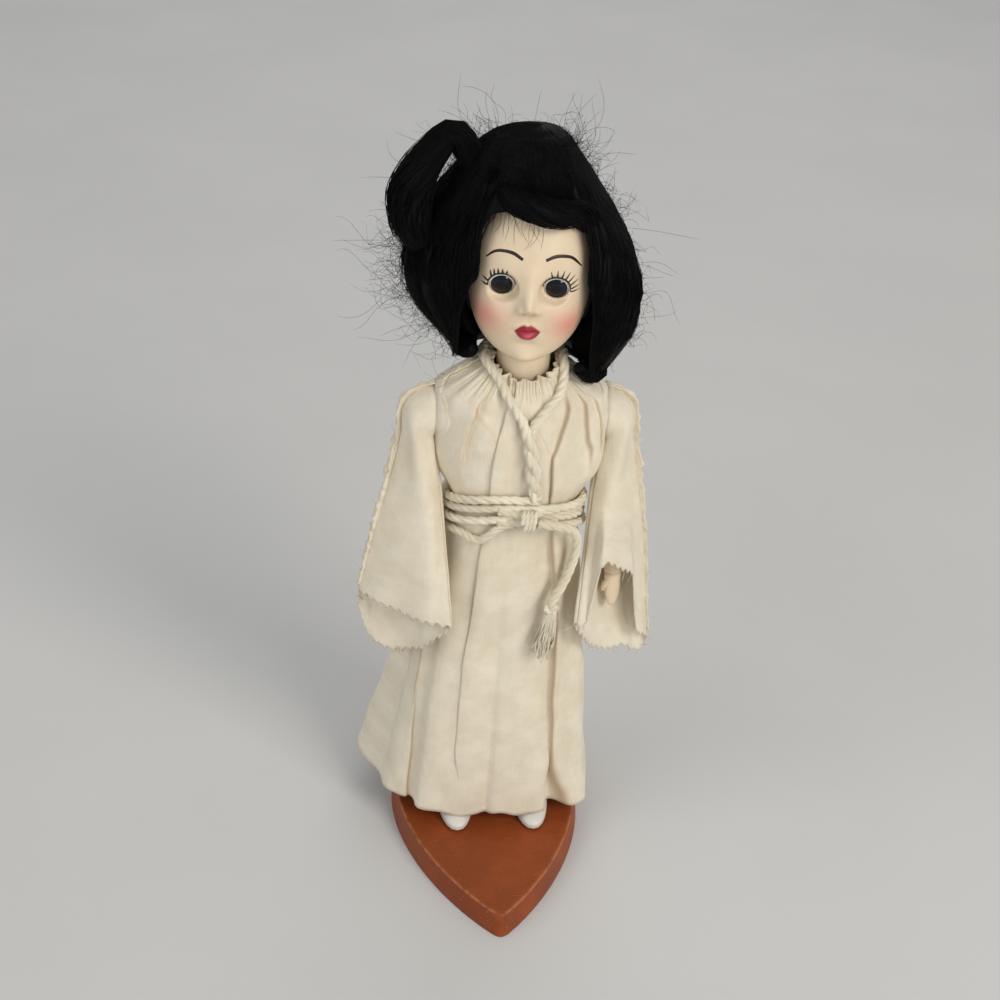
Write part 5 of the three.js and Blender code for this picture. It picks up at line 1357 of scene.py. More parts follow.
def sheath_paths(count, seed):
    """Paths of strands from the crown down over the wig in wavy clumps, in the head's frame."""
    rng = np.random.default_rng(seed)
    clumps = 190
    clump = rng.integers(0, clumps, count)
    w = np.array((0, 0.012, 0.03, 0.06, 0.1, 0.145, 0.2, 0.265, 0.35, 0.46, 0.59, 0.73, 0.87, 1))[None]
    t = rng.uniform(-math.pi, math.pi, clumps)[clump]
    front = (np.abs(t) < math.radians(46))[:, None]
    low = hair_foot(t) + rng.uniform(0, 1, count) ** 2 * 9
    foot = np.where(front, HAIRLINE + rng.uniform(0.6, 5, (count, 1)), low[:, None])
    top = HAIR_TOP + 1
    z = top + (foot - top) * w**1.5
    wave = rng.uniform(0, TAU, (clumps, 2))[clump]
    sway = 0.07 * np.sin(7 * w + wave[:, :1]) + 0.03 * np.sin(15 * w + wave[:, 1:])
    drift = np.where(front, 0.45 * (w - 0.5), 0.1 * (1 - w))
    t = t[:, None] + sway * (0.4 + w) + rng.normal(0, 0.05, (count, 1)) + drift
    layer = 0.995 + rng.uniform(-0.01, 0.01, (count, 1))
    layer = layer + rng.uniform(-0.01, 0.03, clumps)[clump][:, None] * w
    layer = layer + 0.012 * np.sin(9 * w + wave[:, 1:])
    crown = np.sqrt(1 - np.clip(z - HAIR_TOP, 0, 1) ** 2)
    reach = hair_reach(t, np.minimum(z, HAIR_TOP)) * layer * crown
    paths = around(t, np.where(z < -15, np.maximum(reach, shoulder_room(z) + 0.4), reach), z)
    x = paths[..., 0]
    clear = window_half(x, z) + rng.uniform(0, 1.2, (count, 1))
    parted = np.where(x < 0, -1, 1) * np.maximum(np.abs(x), clear)
    paths[..., 0] = np.where((paths[..., 1] < 0.5) & (z < HAIRLINE), parted, x)
    return paths


def curl_paths(count, seed):
    """Paths of loose curly hairs that stand off the wig, in the head's frame."""
    rng = np.random.default_rng(seed)
    kind = rng.uniform(0, 1, count)
    right, above = kind < 0.55, kind > 0.78
    beside_face = np.where(above, rng.uniform(-2, 2, count), rng.uniform(1.4, 2.7, count))
    t = np.where(right, np.minimum(rng.normal(-1.75, 0.4, count), -1.35), beside_face)
    beside = rng.uniform(-24, 24, count)
    elsewhere = np.where(above, rng.uniform(24, 32, count), rng.uniform(-26, 26, count))
    z = np.where(right, beside, elsewhere)
    root = around(t, hair_reach(t, z) * 0.97, z)
    rise = np.where(above, 1.2, 0.15)[:, None] * np.array([0, 0, 12.0])
    out = unit(root * np.array([1, 1, 0.25]) + rise + rng.normal(0, 8, (count, 3)))
    side = unit(np.cross(out, rng.normal(0, 1, (count, 3))))
    up = np.cross(out, side)
    far = rng.uniform(0, 1, count) < 0.07
    most = np.where(far, 20.0, np.where(right, 12.0, np.where(above, 10.0, 8.0)))
    usual = np.where(right, 3.2, np.where(above, 2.6, 1.9))
    length = rng.gamma(1.5, usual) + np.where(far, rng.uniform(4, 10, count), 0)
    length = np.minimum(length, most)[:, None, None]
    w = np.linspace(0, 1, 12)[None, :, None]
    turns = rng.uniform(0.25, np.where(right, 2.3, 1.7))[:, None, None] * TAU
    turns = turns * np.where(far, 0.5, 1)[:, None, None]
    size = rng.uniform(0.5, np.where(right, 3.2, 2.6))[:, None, None] * np.where(far, 1.8, 1)[:, None, None]
    phase = rng.uniform(0, TAU, count)[:, None, None]
    curl = side[:, None] * (np.cos(turns * w + phase) - np.cos(phase))
    curl = curl + up[:, None] * (np.sin(turns * w + phase) - np.sin(phase))
    return root[:, None] + out[:, None] * length * w + curl * size * (0.4 + 0.6 * w)


def brow_hairs(count, seed):
    """Paths of stray hairs that lie on the forehead, in the head's frame."""
    rng = np.random.default_rng(seed)
    w = np.linspace(0, 1, 9)[None]
    x = rng.uniform(-10.5, 3, (count, 1)) + rng.normal(-1, 2, (count, 1)) * w
    x = x + rng.normal(0, 1.2, (count, 1)) * np.sin(3 * w)
    z = HAIRLINE - 0.4 - rng.uniform(3, 9, (count, 1)) * w
    return np.stack([x, face_y(x, z) - 0.12, z], -1)


# Forms of the cords
def knot_centre():
    """Middle of the belt's knot, in front of the waist."""
    return np.array([1.5, -(gown_reach(0, WAIST_Z) + 2.5) - 0.3 - 1.84, WAIST_Z + 3.4])


def beside(angle, drop, away):
    """A point off the gown at a direction, a drop below the waist and a gap."""
    t, z = math.radians(angle), WAIST_Z - drop
    return around(t, gown_reach(t, z) + CORD_LIFT + away, z)


def overhand(centre, size, radius):
    """A closed overhand knot of cord."""
    s = np.linspace(0, TAU, 90)
    path = np.stack([np.sin(s) + 2 * np.sin(2 * s), 1.1 * np.sin(3 * s), np.cos(s) - 2 * np.cos(2 * s)], -1)
    return np.asarray(centre) + path * (size - radius) / 3, radius


def tassel_paths(top, lean, count, seed):
    """Paths of a tassel's loose yarns."""
    rng = np.random.default_rng(seed)
    w = np.linspace(0, 1, 13)[None, :, None]
    angle = rng.uniform(0, TAU, (count, 1, 1))
    ring = np.concatenate([np.cos(angle), 0.75 * np.sin(angle), 0 * angle], -1)
    ring = ring * np.sqrt(rng.uniform(0.05, 1, (count, 1, 1)))
    spread = lerp(1.2, 2.6, w**0.7)
    length = TASSEL_LENGTH * rng.uniform(0.72, 1.06, (count, 1, 1))
    sway = 0.5 * np.sin(rng.uniform(3, 9, (count, 1, 1)) * w + rng.uniform(0, TAU, (count, 1, 3))) * w
    down = np.array([0, 0, -1.0])
    return np.asarray(top) + down * length * w + np.asarray(lean) * w**1.4 + ring * spread + sway


def tail(name, route, lean, sizes, seed):
    """A belt's hanging end: its cord, the knot on it and the tassel below."""
    path = smooth_path(route, 0.45)
    end = path[-1]
    cord = Parts()
    cord.cord(np.vstack([path, end - [0, 0, 1.2]]), CORD_FULL, sizes.cord_lay / MM)
    knot = Parts()
    loop, radius = overhand(end - [0, 0, TAIL_KNOT_DROP], TAIL_KNOT_RADIUS + 0.25, 0.85)
    knot.cord(loop, radius, 3.6)
    fringe = Parts()
    top = end - [0, 0, TAIL_KNOT_DROP + 0.9]
    paths = tassel_paths(top, lean, sizes.tassel_yarns, seed)
    radii = np.full(paths.shape[:2], 0.24) * np.linspace(1, 0.75, paths.shape[1])
    strand_parts(fringe, paths, radii, 5)
    pieces = [
        make_piece(f"{name}_{part}", parts, finish("twisted_cotton"), "doll")
        for part, parts in (("cord", cord), ("knot", knot), ("yarns", fringe))
    ]
    return pieces, path


class DOLL_OT_stage(bpy.types.Operator):
    """Sets the pale floor, the soft lights and the camera"""

    bl_idname = "doll.stage"
    bl_label = "Stage"

    def execute(self, context):
        scene = context.scene
        scene.view_settings.view_transform = "Standard"
        floor = Parts()
        corners = np.array([(-1, -1, 0), (1, -1, 0), (1, 1, 0), (-1, 1, 0)])
        floor.add(FLOOR_HALF * corners, [(0, 1, 2, 3)])
        make_piece("floor", floor, finish("pale_floor"))
        world = bpy.data.worlds.new("soft_room")
        world.use_nodes = True
        light = world.node_tree.nodes["Background"].inputs
        light["Color"].default_value = WORLD_COLOUR
        light["Strength"].default_value = WORLD_STRENGTH
        scene.world = world
        for lamp in LAMPS:
            self.lamp(*lamp)
        self.camera(scene)
        return {"FINISHED"}

    def lamp(self, name, place, size, power, colour):
        light = bpy.data.lights.new(name, "AREA")
        light.size = size
        light.energy = power
        light.color = colour
        lamp = bpy.data.objects.new(name, light)
        lamp.location = place
        lamp.rotation_euler = (Vector(LAMPS_AIM) - Vector(place)).to_track_quat("-Z", "Y").to_euler()
        bpy.context.scene.collection.objects.link(lamp)

    def camera(self, scene):
        data = bpy.data.cameras.new("camera")
        data.lens = CAMERA_LENS
        data.sensor_width = SENSOR_WIDTH
        data.clip_start = 0.01
        place = Vector(CAMERA_AT)
        ahead = (Vector(CAMERA_TARGET) - place).normalized()
        right = ahead.cross(Vector((0, 0, 1))).normalized()
        up = right.cross(ahead)
        c, s = math.cos(CAMERA_ROLL), math.sin(CAMERA_ROLL)
        axes = (c * right + s * up, c * up - s * right, -ahead)
        camera = bpy.data.objects.new("camera", data)
        camera.matrix_world = Matrix.Translation(place * MM) @ Matrix(axes).transposed().to_4x4()
        scene.collection.objects.link(camera)
        scene.camera = camera


class DOLL_OT_cords(bpy.types.Operator):
    """Winds the belt, the neck cord, their knot and the hanging ends with tassels"""

    bl_idname = "doll.cords"
    bl_label = "Cords"

    def execute(self, context):
        sizes = context.scene.doll_sizes
        lay = sizes.cord_lay / MM
        self.belt(lay)
        self.neck_cord(lay)
        self.knot(lay)
        self.tails(sizes)
        return {"FINISHED"}

    def belt(self, lay):
        """A cord wound round the waist, with one sagging turn."""
        t = np.linspace(0, BELT_TURNS * TAU + 0.3, BELT_TURNS * 126)
        wander = 0.4 * np.sin(0.83 * t + 0.6) + 0.32 * np.sin(1.71 * t + 2.1) + 0.2 * np.sin(3.1 * t)
        drawn = 1 - 0.3 * bump(turned(t) - 0.3, 0.7)
        sag = 3.2 * bump(t - math.radians(324), math.radians(13))
        z = belt_level(t) + BELT_PITCH * (t / TAU - BELT_TURNS / 2) * drawn + wander - sag
        reach = np.maximum(gown_reach(t, z - CORD_RADIUS), gown_reach(t, z + CORD_RADIUS)) + CORD_LIFT
        belt = Parts()
        belt.cord(around(t, reach + 0.2 + 0.25 * np.sin(2.3 * t), z), CORD_RADIUS, lay)
        self.keep("belt_wraps", belt, "belt_cord")

    def knot(self, lay):
        """Turns of a thinner cord round two strands of the belt."""
        knot = Parts()
        s = np.linspace(0, KNOT_TURNS * TAU, 190)
        along = s / TAU - KNOT_TURNS / 2 + 0.25 * np.sin(s)
        wrap = np.stack([along, -1.75 * np.cos(s), 2.45 * np.sin(s)], -1)
        knot.cord(knot_centre() + [0.5, 0.6, -0.2] + wrap, 0.66, 4.5)
        for level, seed in ((1.1, 0), (-1.15, 1)):
            angle = np.radians(np.linspace(-20, 36, 15))
            spread = 1 + 0.5 * smooth(np.abs(np.degrees(angle) - 7), 6, 24)
            rise = WAIST_Z + 3.2 + level * spread + 0.2 * np.sin(9 * angle + seed)
            off = gown_reach(angle, rise) + CORD_LIFT + 1.9 * bump(angle - 0.12, 0.16) + 0.5
            knot.cord(around(angle, off, rise), 1.15, lay)
        self.keep("belt_wrap_knot", knot, "belt_knot")

    def tails(self, sizes):
        """The belt's two hanging ends."""
        centre = knot_centre()
        route = [
            centre + [2.945, 0, -0.4], centre + [7.5, -0.4, -1], beside(40, 0.3, 5.2), beside(46, 6.4, 4.4),
            beside(41, 14.9, 3.3), beside(31, 22.3, 3),
        ]
        pieces, path = tail("left_hanging", route, (-1.6, -0.4, 0), sizes, 21)
        for piece, node in zip(pieces, ("left_tail_cord", "left_tail_knot", "left_tail_tassel")):
            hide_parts(node)
        route = [
            beside(-82, 7.1, 0.5), beside(-83, 16.9, 0.8), beside(-85, 24.9, 1.6), beside(-86, 31.9, 2.4),
        ]
        pieces, _ = tail("right_hanging", route, (-2.6, 0.6, 0), sizes, 22)
        for piece, node in zip(pieces, ("right_tail_cord", "right_tail_knot", "right_tail_tassel")):
            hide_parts(node)

    def neck_cord(self, lay):
        """Two strands that come round the neck, meet on the chest and run down to the belt as one rope."""
        neck = Parts()
        down = np.linspace(0, 1, 30)
        angle = np.radians(table_at(NECK_ROPE, down))
        level = lerp(136.6, 117.5, down)
        rope = around(angle, gown_reach(angle, level) + 1.7, level)
        rope[-4:, 1] -= np.array([0.2, 0.6, 0.8, 0.6])
        strands = []
        for half, line in zip((-1, 1), NECK_STRANDS):
            turn = 0.3 + 1.6 * TAU * down + (0 if half > 0 else math.pi)
            twist = np.stack([0.78 * np.cos(turn), 0.78 * np.sin(turn), 0 * turn], -1)
            t, z = np.array(line).T
            t = np.radians(t)
            over = around(t, gown_reach(t, z) + 1.55, z - scoop(t, z))
            ring = [(x * half, y, NECK_RING_Z) for x, y in ((9.8, -3.4), (9.9, 3), (6.3, 8.5))]
            strands.append(np.vstack([(rope + twist)[::-3], over, ring]))
        path = np.vstack([strands[0], [(0, 10.7, NECK_RING_Z)], strands[1][::-1]])
        neck.cord(smooth_path(path, 0.45), CORD_FULL, lay)
        self.keep("neck_cord_loop", neck, "neck_cord")

    def keep(self, name, parts, node):
        piece = make_piece(name, parts, finish("twisted_cotton"), "doll")
        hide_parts(node)


class DOLL_OT_stand(bpy.types.Operator):
    """Moulds the leaf-shaped stand with a painted highlight along its rim and a hollow underside"""

    bl_idname = "doll.stand"
    bl_label = "Stand"

    def execute(self, context):
        rings = np.array([self.outline(inset, z) for inset, z in STAND_PROFILE])
        parts = lofted(rings)
        # Mask of the painted highlight along the stand's top rim
        edge = np.array([bump(z - 6.36, 0.2) * bump(inset - 1.5, 0.5) for inset, z in STAND_PROFILE])
        edge = np.repeat(edge, rings.shape[1])
        rib = np.array([[(-2.5, -38, z), (2.5, -38, z), (2.5, 20, z), (-2.5, 20, z)] for z in (0.02, 4.4)])
        parts.loft(rib)
        for x in (-FOOT_SPREAD, FOOT_SPREAD):
            parts.loft(lathe(PEG_PROFILE, 24, (x, PEG_Y)))
        piece = make_piece("moulded_stand", parts, finish("stand_plastic"), "doll")
        point_values(piece, "edge", np.concatenate([edge, np.zeros(parts.count - len(edge))]))
        change = piece.modifiers.new("corners", "EDGE_SPLIT")
        change.split_angle = math.radians(50)
        settle(piece)
        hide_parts("stand_base")
        return {"FINISHED"}

    def outline(self, inset, z):
        """One ring of the leaf shape, from its nose round the heel and back."""
        half, nose, heel = STAND_HALF - inset, STAND_NOSE + 1.5 * inset, STAND_HEEL - inset
        s = np.linspace(0, 1, 36)[:, None]
        tip, ctrl, shoulder = np.array([(0, nose), (1.04, nose), (2.6, nose + 1.508)])
        front = tip * (1 - s[::4]) ** 2 + 2 * ctrl * s[::4] * (1 - s[::4]) + shoulder * s[::4] ** 2
        side = bezier(s, shoulder, (0.53 * half, nose + 13), (half, -18), (half, 3))
        rear = bezier(s, (half, 3), (half, 16), (0.55 * half, heel), (0, heel))
        left = np.vstack([front[:-1], side[:-1], rear])
        ring = np.vstack([left, (left * [-1, 1])[-2:0:-1]])
        return np.column_stack([ring[:, 0] + STAND_OFFSET, ring[:, 1], np.full(len(ring), z)])


class DOLL_OT_body(bpy.types.Operator):
    """Finishes the body and its inner works, and paints the shoes"""

    bl_idname = "doll.body"
    bl_label = "Body and shoes"

    def execute(self, context):
        works = {
            "skin_plastic": ("body_front_half", "body_back_half"),
            "wire_metal": ("arm_hook_right", "arm_hook_left", "neck_hook", "eye_wire"),
            "lead_metal": ("eye_weight",),
            "band_rubber": ("stringing_band",),
            "wig_net": ("wig_cap",),
        }
        for name, nodes in works.items():
            for node in nodes:
                repaint(node, name)
        for side, name in ((-1, "shoe_right"), (1, "shoe_left")):
            self.shoe(name, side * FOOT_SPREAD)
        return {"FINISHED"}

    def shoe(self, name, x):
        z = np.concatenate([np.linspace(SOLE_Z, 10.4, 22), np.linspace(10.6, 14.5, 10)])
        t = ring_angles(72)
        row = eased(SHOE_SECTIONS, z) + 0.14
        reach = oval_reach(t, row[:, :1], row[:, :1], row[:, 1:2], row[:, 2:3], 2.3)
        parts = lofted(around(t, reach, z[:, None]) + np.array([x, 0, 0]))
        piece = make_piece(name, parts, finish("shoe_paint"), "doll")
        point_values(piece, "sole", np.repeat(1 - smooth(z, 6.9, 7.5), len(t)))


class DOLL_OT_arms(bpy.types.Operator):
    """Moulds the arms with their hands"""

    bl_idname = "doll.arms"
    bl_label = "Arms"

    def execute(self, context):
        for side, name in ((-1, "arm_right"), (1, "arm_left")):
            self.arm(name, side)
        return {"FINISHED"}

    def within(self, side, drop, inward, back):
        """A point off the sleeve's middle line at a drop below the shoulder."""
        at = np.linspace(0, 1, 200)
        middle = sleeve_rows(side, at)[0]
        x = np.interp(drop, SHOULDER_Z - middle[:, 2], middle[:, 0])
        y = np.interp(drop, SHOULDER_Z - middle[:, 2], middle[:, 1])
        return np.array([x - side * inward, y + back, SHOULDER_Z - drop])

    def arm(self, name, side):
        start = np.array([side * SHOULDER_PIVOT, 0, SHOULDER_Z])
        armpit = self.within(side, 7.8, -0.5, 0.5)
        elbow = self.within(side, 26, 0, 0.7)
        wrist = self.within(side, 45, 0.3, 1.8)
        tip = self.within(side, 55, 0.3, 2.2)
        parts = Parts()
        path = smooth_path([start, armpit, elbow, wrist], 0.8)
        share = run_length(path) / run_length(path)[-1]
        parts.tube(path, table_at(ARM_RADII, share), 32)
        rise = np.linspace(-1.56, 1.56, 17)
        ball = [(max(SHOULDER_BALL * math.cos(a), 0.05), SHOULDER_BALL * math.sin(a)) for a in rise]
        parts.loft(lathe(ball, 32) + start)
        s = np.linspace(0, 1, 16)
        wide, thick = table_at(HAND_WIDTHS, s), table_at(HAND_DEPTHS, s)
        t = ring_angles(40)
        grooves = 1 - 0.16 * smooth(s, 0.45, 0.7)[:, None] * np.abs(np.cos(2 * np.pi * np.sin(t)))
        c, d = math.cos(PALM_TURN), side * math.sin(PALM_TURN)
        palm = np.array([[c, -d, 0], [d, c, 0], [0, 0, 1]])
        hand = (wrist + (tip - wrist) * s[:, None])[:, None] + np.stack([
            thick[:, None] * np.cos(t) * grooves, wide[:, None] * np.sin(t), 0 * s[:, None] * t,
        ], -1) @ palm
        parts.loft(hand)
        root = np.array([(0, -1.6, 0), (-0.4 * side, -2.5, -1.2), (-side, -2.3, -3.6)]) @ palm
        thumb = smooth_path(lerp(wrist, tip, 0.22) + root, 0.3)
        parts.tube(thumb, table_at(THUMB_RADII, np.linspace(0, 1, len(thumb))), 12)
        piece = make_piece(name + "_moulded", parts, finish("skin_plastic"), name)
        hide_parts(name)


class DOLL_OT_head(bpy.types.Operator):
    """Moulds the head with its painted face"""

    bl_idname = "doll.head"
    bl_label = "Head and face"

    def execute(self, context):
        shell = lofted(from_head(head_form(0, 250, 200, True)))
        piece = make_piece("painted_head", shell, finish("skin_plastic"))
        carve(piece, lofted(from_head(lathe(NECK_PROFILE, 72))), operation="UNION")
        cutters = [head_form(-HEAD_WALL, 64, 40, False)]
        turn = np.linspace(0.03, math.pi - 0.03, 40)
        ball = [(SOCKET_RADIUS * math.sin(a), -SOCKET_RADIUS * math.cos(a)) for a in turn]
        t = ring_angles(56)
        for side in (-1, 1):
            cutters.append(lathe(ball, 72) + [side * EYE_SPREAD, EYE_CENTRE_Y, EYE_LEVEL])
            x = side * EYE_SPREAD + EYE_HALF_WIDTH * np.cos(t)
            z = EYE_OPENING_Z + EYE_HALF_HEIGHT * np.sin(t)
            cutters.append([np.stack([x, np.full(56, y), z], -1) for y in (EYE_CENTRE_Y - 1, -30)])
        carve(piece, *(lofted(from_head(rings)) for rings in cutters))
        self.paint(piece)
        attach(piece, "head")
        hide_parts("head_face_half", "head_back_half")
        repaint("eye_bracket", "skin_plastic")
        self.strokes()
        return {"FINISHED"}

    def paint(self, piece):
        """Masks of the lip paint with its painted highlight, the blush and the painted shade of the openings.
        """
        x, y, z = to_head(piece_points(piece)).T
        side = np.abs(x)
        front = smooth(-y, 4, 9)
        across = np.abs(x - FACE_SHIFT)
        low_edge = LIP_Z - 2.15 * np.clip(1 - (across / 3.15) ** 2.2, 0, 1)
        top_edge = LIP_Z + table_at(LIP_EDGE, across)
        inside = smooth(z - low_edge, -0.18, 0.18) * smooth(top_edge - z, -0.18, 0.18)
        point_values(piece, "lip", front * (inside * (1 - smooth(across, 3, 3.35))))
        # Painted highlight on the lower lip's middle, and a weaker one on the upper lip
        light = 0.85 * bump(x - 0.5, 1.1) * bump(z - LIP_Z + 0.9, 0.65)
        point_values(piece, "lip_highlight", light + 0.3 * bump(x - 0.5, 1.0) * bump(z - LIP_Z - 0.8, 0.4))
        point_values(piece, "blush", front * bump(np.hypot(side - 10, z + 10.4 + 0.06 * x), 4.2))
        nostril = bump(np.hypot(across - 1.05, z + 7.25), 0.42)
        mouth = bump(z - LIP_Z - 0.02 * x * x, 0.17) * (1 - smooth(across, 2.5, 3.1))
        point_values(piece, "shade", front * np.clip(0.42 * nostril + 0.55 * mouth, 0, 1))

    def strokes(self):
        """The painted brows, lash lines and lashes."""
        brows = Parts()
        lashes = Parts()
        for side, brow, (angles, length, upright, widths) in zip((-1, 1), BROW_LINES, LASHES):
            paint_stroke(brows, brow, BROW_WIDTHS, BROW_LIFT)
            line = eye_rim(side, np.linspace(-12, 178, 15), 1.06)
            paint_stroke(lashes, line, LASH_LINE_WIDTHS, LASH_LIFT)
            for angle in angles:
                root = eye_rim(side, [angle], 1.08)[0]
                fan = np.array([side * math.cos(math.radians(angle)), math.sin(math.radians(angle))])
                way = unit(lerp(fan, np.array([0, 1.0]), upright if angle > 30 else 0.2))
                tip = root + way * length
                middle = (root + tip) / 2 - [0, 0.1]
                paint_stroke(lashes, (root, middle, tip), widths, LASH_LIFT)
        painted = (("painted_brows", brows, "brow_paint"), ("painted_lashes", lashes, "lash_paint"))
        for name, parts, look in painted:
            piece = make_piece(name, parts, finish(look))
            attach(piece, "head")


class DOLL_OT_eyes(bpy.types.Operator):
    """Makes the rolling eyes with their irises and lids"""

    bl_idname = "doll.eyes"
    bl_label = "Eyes"

    def execute(self, context):
        for side, name in ((-1, "eye_right"), (1, "eye_left")):
            angle = np.radians(np.concatenate([np.linspace(0.6, 60, 50), np.linspace(63, 179.4, 34)]))
            a, r = np.meshgrid(angle, ring_angles(72), indexing="ij")
            local = np.stack([np.sin(a) * np.cos(r), -np.cos(a), np.sin(a) * np.sin(r)], -1)
            local = local * (EYE_RADIUS - 0.01)
            c, d = math.cos(EYE_DROOP), math.sin(EYE_DROOP)
            local = local @ np.array([[1, 0, 0], [0, c, d], [0, -d, c]])
            uv = lengths_uv(360 / 12, 72, np.degrees(angle))
            parts = lofted(from_head(local + [side * EYE_SPREAD, EYE_CENTRE_Y, EYE_LEVEL]), uv)
            piece = make_piece(name + "_glass", parts, finish("eye_glass"), "eyes")
            rise = np.degrees(np.arctan2(local[..., 2], -local[..., 1]))
            point_values(piece, "lid", np.clip(rise, 0, 180).ravel())
            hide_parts(name)
        return {"FINISHED"}


class DOLL_OT_wig(bpy.types.Operator):
    """Builds the wig: its combed mass, the rolled fringe, the raised lock and the loose hairs"""

    bl_idname = "doll.wig"
    bl_label = "Wig"

    def execute(self, context):
        sizes = context.scene.doll_sizes
        width = sizes.hair_width / MM / 2
        mass = self.mass()
        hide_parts("wig_hair")
        combed = Parts()
        self.lay(combed, sheath_paths(sizes.hair_strands, 31), width)
        self.keep("wig_strands", combed)
        rolls = Parts()
        for route, widths, count, twist, seed, deep in (
            (LOCK_ROUTE, LOCK_WIDTHS, 300, 0.35, 32, 0.7), (FRINGE_ROUTE, FRINGE_WIDTHS, 240, 0.6, 33, 1),
            (end_roll(-66, -160), END_WIDTHS, 190, 3, 38, 1), (end_roll(66, 160), END_WIDTHS, 190, -3, 39, 1),
        ):
            self.lay(rolls, bundle(route, widths, count, 24, twist, seed, deep), width)
            path = rolled_line(route)
            rolls.tube(from_head(path), 0.9 * table_at(widths, np.linspace(0, 1, len(path))), 20, deep)
        self.keep("wig_rolls", rolls)
        loose = Parts()
        self.lay(loose, curl_paths(sizes.hair_curls, 34), width * 0.36)
        self.lay(loose, brow_hairs(26, 37), width * 0.3)
        self.keep("wig_loose_hairs", loose)
        return {"FINISHED"}

    def lay(self, parts, paths, width):
        """Strands along paths of the head's frame, finer at both ends."""
        steps = paths.shape[1]
        taper = table_at(STRAND_TAPER, np.linspace(0, 1, steps))
        strand_parts(parts, from_head(paths), np.broadcast_to(width * taper, paths.shape[:2]))

    def keep(self, name, parts):
        piece = make_piece(name, parts, finish("wig_fibre"), "head")

    def mass(self):
        """The wig's closed mass under the strands, with room for the head, the face and the shoulders."""
        rounded = 24 + (HAIR_TOP - 24) * np.sin(np.linspace(0.05, 1, 26) * TAU / 4)
        crown = HAIR_TOP + np.array([0.3, 0.55, 0.66, 0.68])
        z = np.concatenate([np.linspace(-33.9, 24, 60), rounded, crown])
        t2, z2 = np.meshgrid(ring_angles(260), z)
        locks = ripple(35, 8, 60, 0.05)(t2, z2) + 0.6 * ripple(36, 6, 22, 0.03)(t2, z2)
        fade = smooth(-z2, -HAIR_TOP + 0.5, -HAIR_TOP + 8)
        reach = hair_reach(t2, np.minimum(z2, HAIR_TOP)) * (0.985 + 0.01 * locks * fade)
        reach[-4:] *= np.array([[0.8], [0.5], [0.2], [0.01]])
        parts = lofted(from_head(around(t2, reach, z2)), lengths_uv(150, 260, z))
        piece = make_piece("wig_mass", parts, finish("wig_fibre"))
        room = [(radius, level) for level, radius in SHOULDER_ROOM]
        neck = lathe([(room[0][0], -CUTTER_REACH), *room], 72)
        cutters = (head_form(HEAD_WALL + 0.1, 72, 48, False), face_window(0.5), neck)
        carve(piece, *(lofted(from_head(rings)) for rings in cutters))
        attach(piece, "head")
        return piece


class DOLL_OT_gown(bpy.types.Operator):
    """Sews the gown's front and back panels with their pleats and raw shoulder seams"""

    bl_idname = "doll.gown"
    bl_label = "Gown"

    def execute(self, context):
        quarter = math.pi / 2
        front = gown_panel("gown_front_panel", -quarter, quarter, 280, 140, "gown_front")
        back = gown_panel("gown_back_panel", quarter, 3 * quarter, 190, 112, "gown_back")
        for side in (-1, 1):
            z = np.linspace(NECKLINE_Z + 0.5, SHOULDER_Z + ARMHOLE + 1.5, 26)
            base = around(side * quarter, gown_reach(side * quarter, z), z) + [0, 0, 0.2]
            outward = unit(np.tile([0.5 * side, 0, 1.0], (len(z), 1)))
            height = table_at(SHOULDER_SEAM, z - z[-1])
            strip = frayed_strip(base, outward, np.array([0, 1.0, 0]), height, 41 + side)
            name = "shoulder_seam_right" if side < 0 else "shoulder_seam_left"
            piece = make_piece(name, strip, finish("cotton_cloth"))
            thicken(piece, context.scene.doll_sizes.cloth)
            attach(piece, "doll")
        return {"FINISHED"}


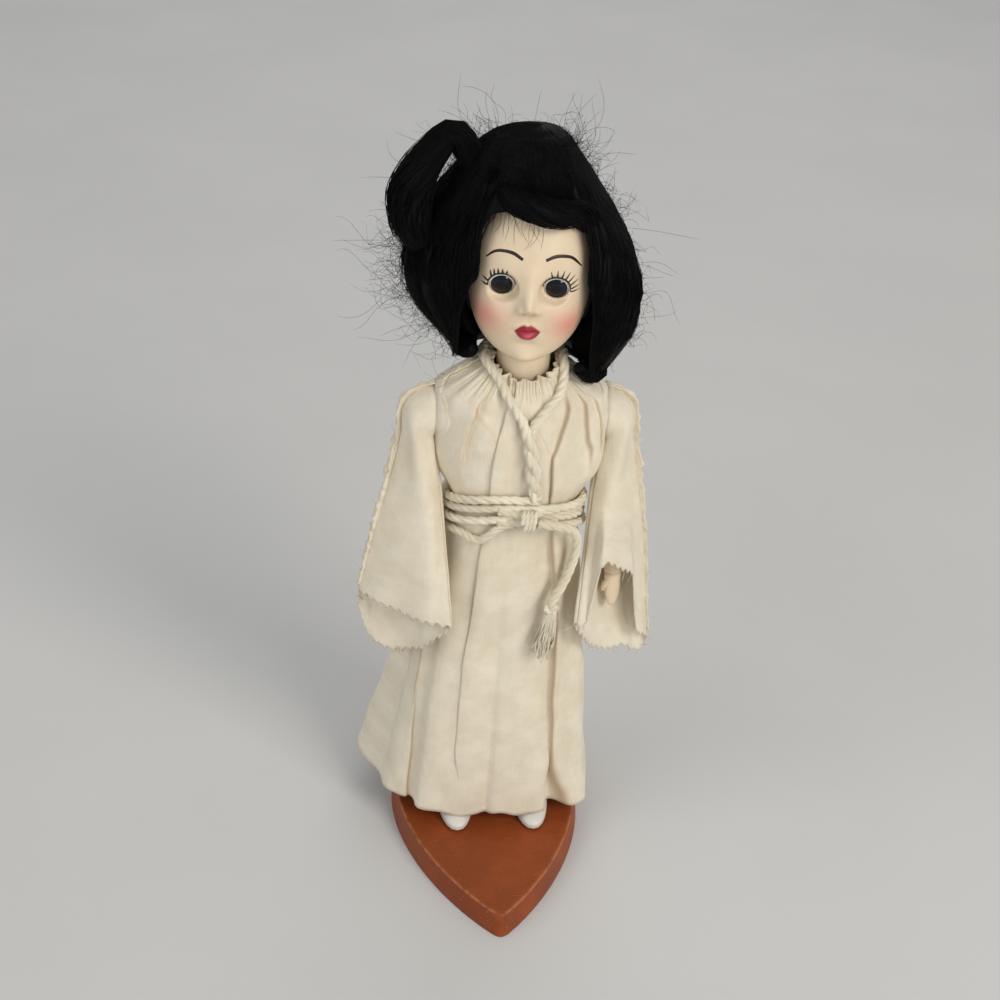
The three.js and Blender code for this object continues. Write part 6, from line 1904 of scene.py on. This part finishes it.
class DOLL_OT_sleeves(bpy.types.Operator):
    """Sews the wide sleeves with their pinked cuffs and raw outer seams"""

    bl_idname = "doll.sleeves"
    bl_label = "Sleeves"

    def execute(self, context):
        sizes = context.scene.doll_sizes
        for side, name in ((-1, "right"), (1, "left")):
            points, uv, fold_groove_and_shade = sleeve_grid(side, sizes)
            parts = Parts()
            parts.grid(points, True, uv)
            sleeve = make_piece("sleeve_cloth_" + name, parts, finish("cotton_cloth"))
            # Painted shade along the sleeve's inner fold
            point_values(sleeve, "crease_shade", fold_groove_and_shade.ravel())
            thicken(sleeve, sizes.cloth)
            base = points[:-2, 0]
            at = sleeve_places()[:-2]
            outward = sleeve_cloth(side, at, 0 * at)[1]
            height = table_at(SLEEVE_SEAM, at)
            strip = frayed_strip(base, outward, np.array([0, 1.0, 0]), height, 51 + side)
            seam = make_piece("sleeve_seam_" + name, strip, finish("cotton_cloth"))
            thicken(seam, sizes.cloth)
            loose = Parts()
            threads(loose, base, outward, 26, 2.6, 0.08, 53 + side)
            threads(loose, points[-1], np.tile([0, 0, -1.0], (len(points[-1]), 1)), 34, 2.2, 0.08, 56 + side)
            fray = make_piece("sleeve_threads_" + name, loose, finish("cotton_cloth"))
            for piece in (sleeve, seam, fray):
                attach(piece, "arm_" + name)
            collar_points, collar_uv = armhole_collar(side)
            lapped = Parts()
            lapped.grid(collar_points, True, collar_uv)
            collar = make_piece("armhole_collar_" + name, lapped, finish("cotton_cloth"))
            thicken(collar, sizes.cloth)
            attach(collar, "doll")
            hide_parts("sleeve_" + name)
        return {"FINISHED"}


class DOLL_PT_panel(bpy.types.Panel):
    """Lists the sizes, the colours and the making steps"""

    bl_idname = "DOLL_PT_panel"
    bl_label = "Doll"
    bl_space_type = "VIEW_3D"
    bl_region_type = "UI"
    bl_category = "Doll"

    def draw(self, context):
        layout = self.layout
        for group in (context.scene.doll_sizes, context.scene.doll_colours):
            box = layout.box()
            for name in group.bl_rna.properties.keys():
                if name not in ("rna_type", "name"):
                    box.prop(group, name)
        for operator in OPERATORS:
            layout.operator(operator.bl_idname)


OPERATORS = (
    DOLL_OT_stage, DOLL_OT_cords, DOLL_OT_stand, DOLL_OT_body, DOLL_OT_arms, DOLL_OT_head, DOLL_OT_eyes,
    DOLL_OT_wig, DOLL_OT_gown, DOLL_OT_sleeves,
)
CLASSES = (DollSizes, DollColours, *OPERATORS, DOLL_PT_panel)


def register():
    for cls in CLASSES:
        bpy.utils.register_class(cls)
    bpy.types.Scene.doll_sizes = PointerProperty(type=DollSizes)
    bpy.types.Scene.doll_colours = PointerProperty(type=DollColours)


def unregister():
    del bpy.types.Scene.doll_colours
    del bpy.types.Scene.doll_sizes
    for cls in reversed(CLASSES):
        bpy.utils.unregister_class(cls)


def main():
    register()
    bpy.ops.doll.stage()
    bpy.ops.doll.cords()
    bpy.ops.doll.stand()
    bpy.ops.doll.body()
    bpy.ops.doll.arms()
    bpy.ops.doll.head()
    bpy.ops.doll.eyes()
    bpy.ops.doll.wig()
    bpy.ops.doll.gown()
    bpy.ops.doll.sleeves()


if __name__ == "__main__":
    main()
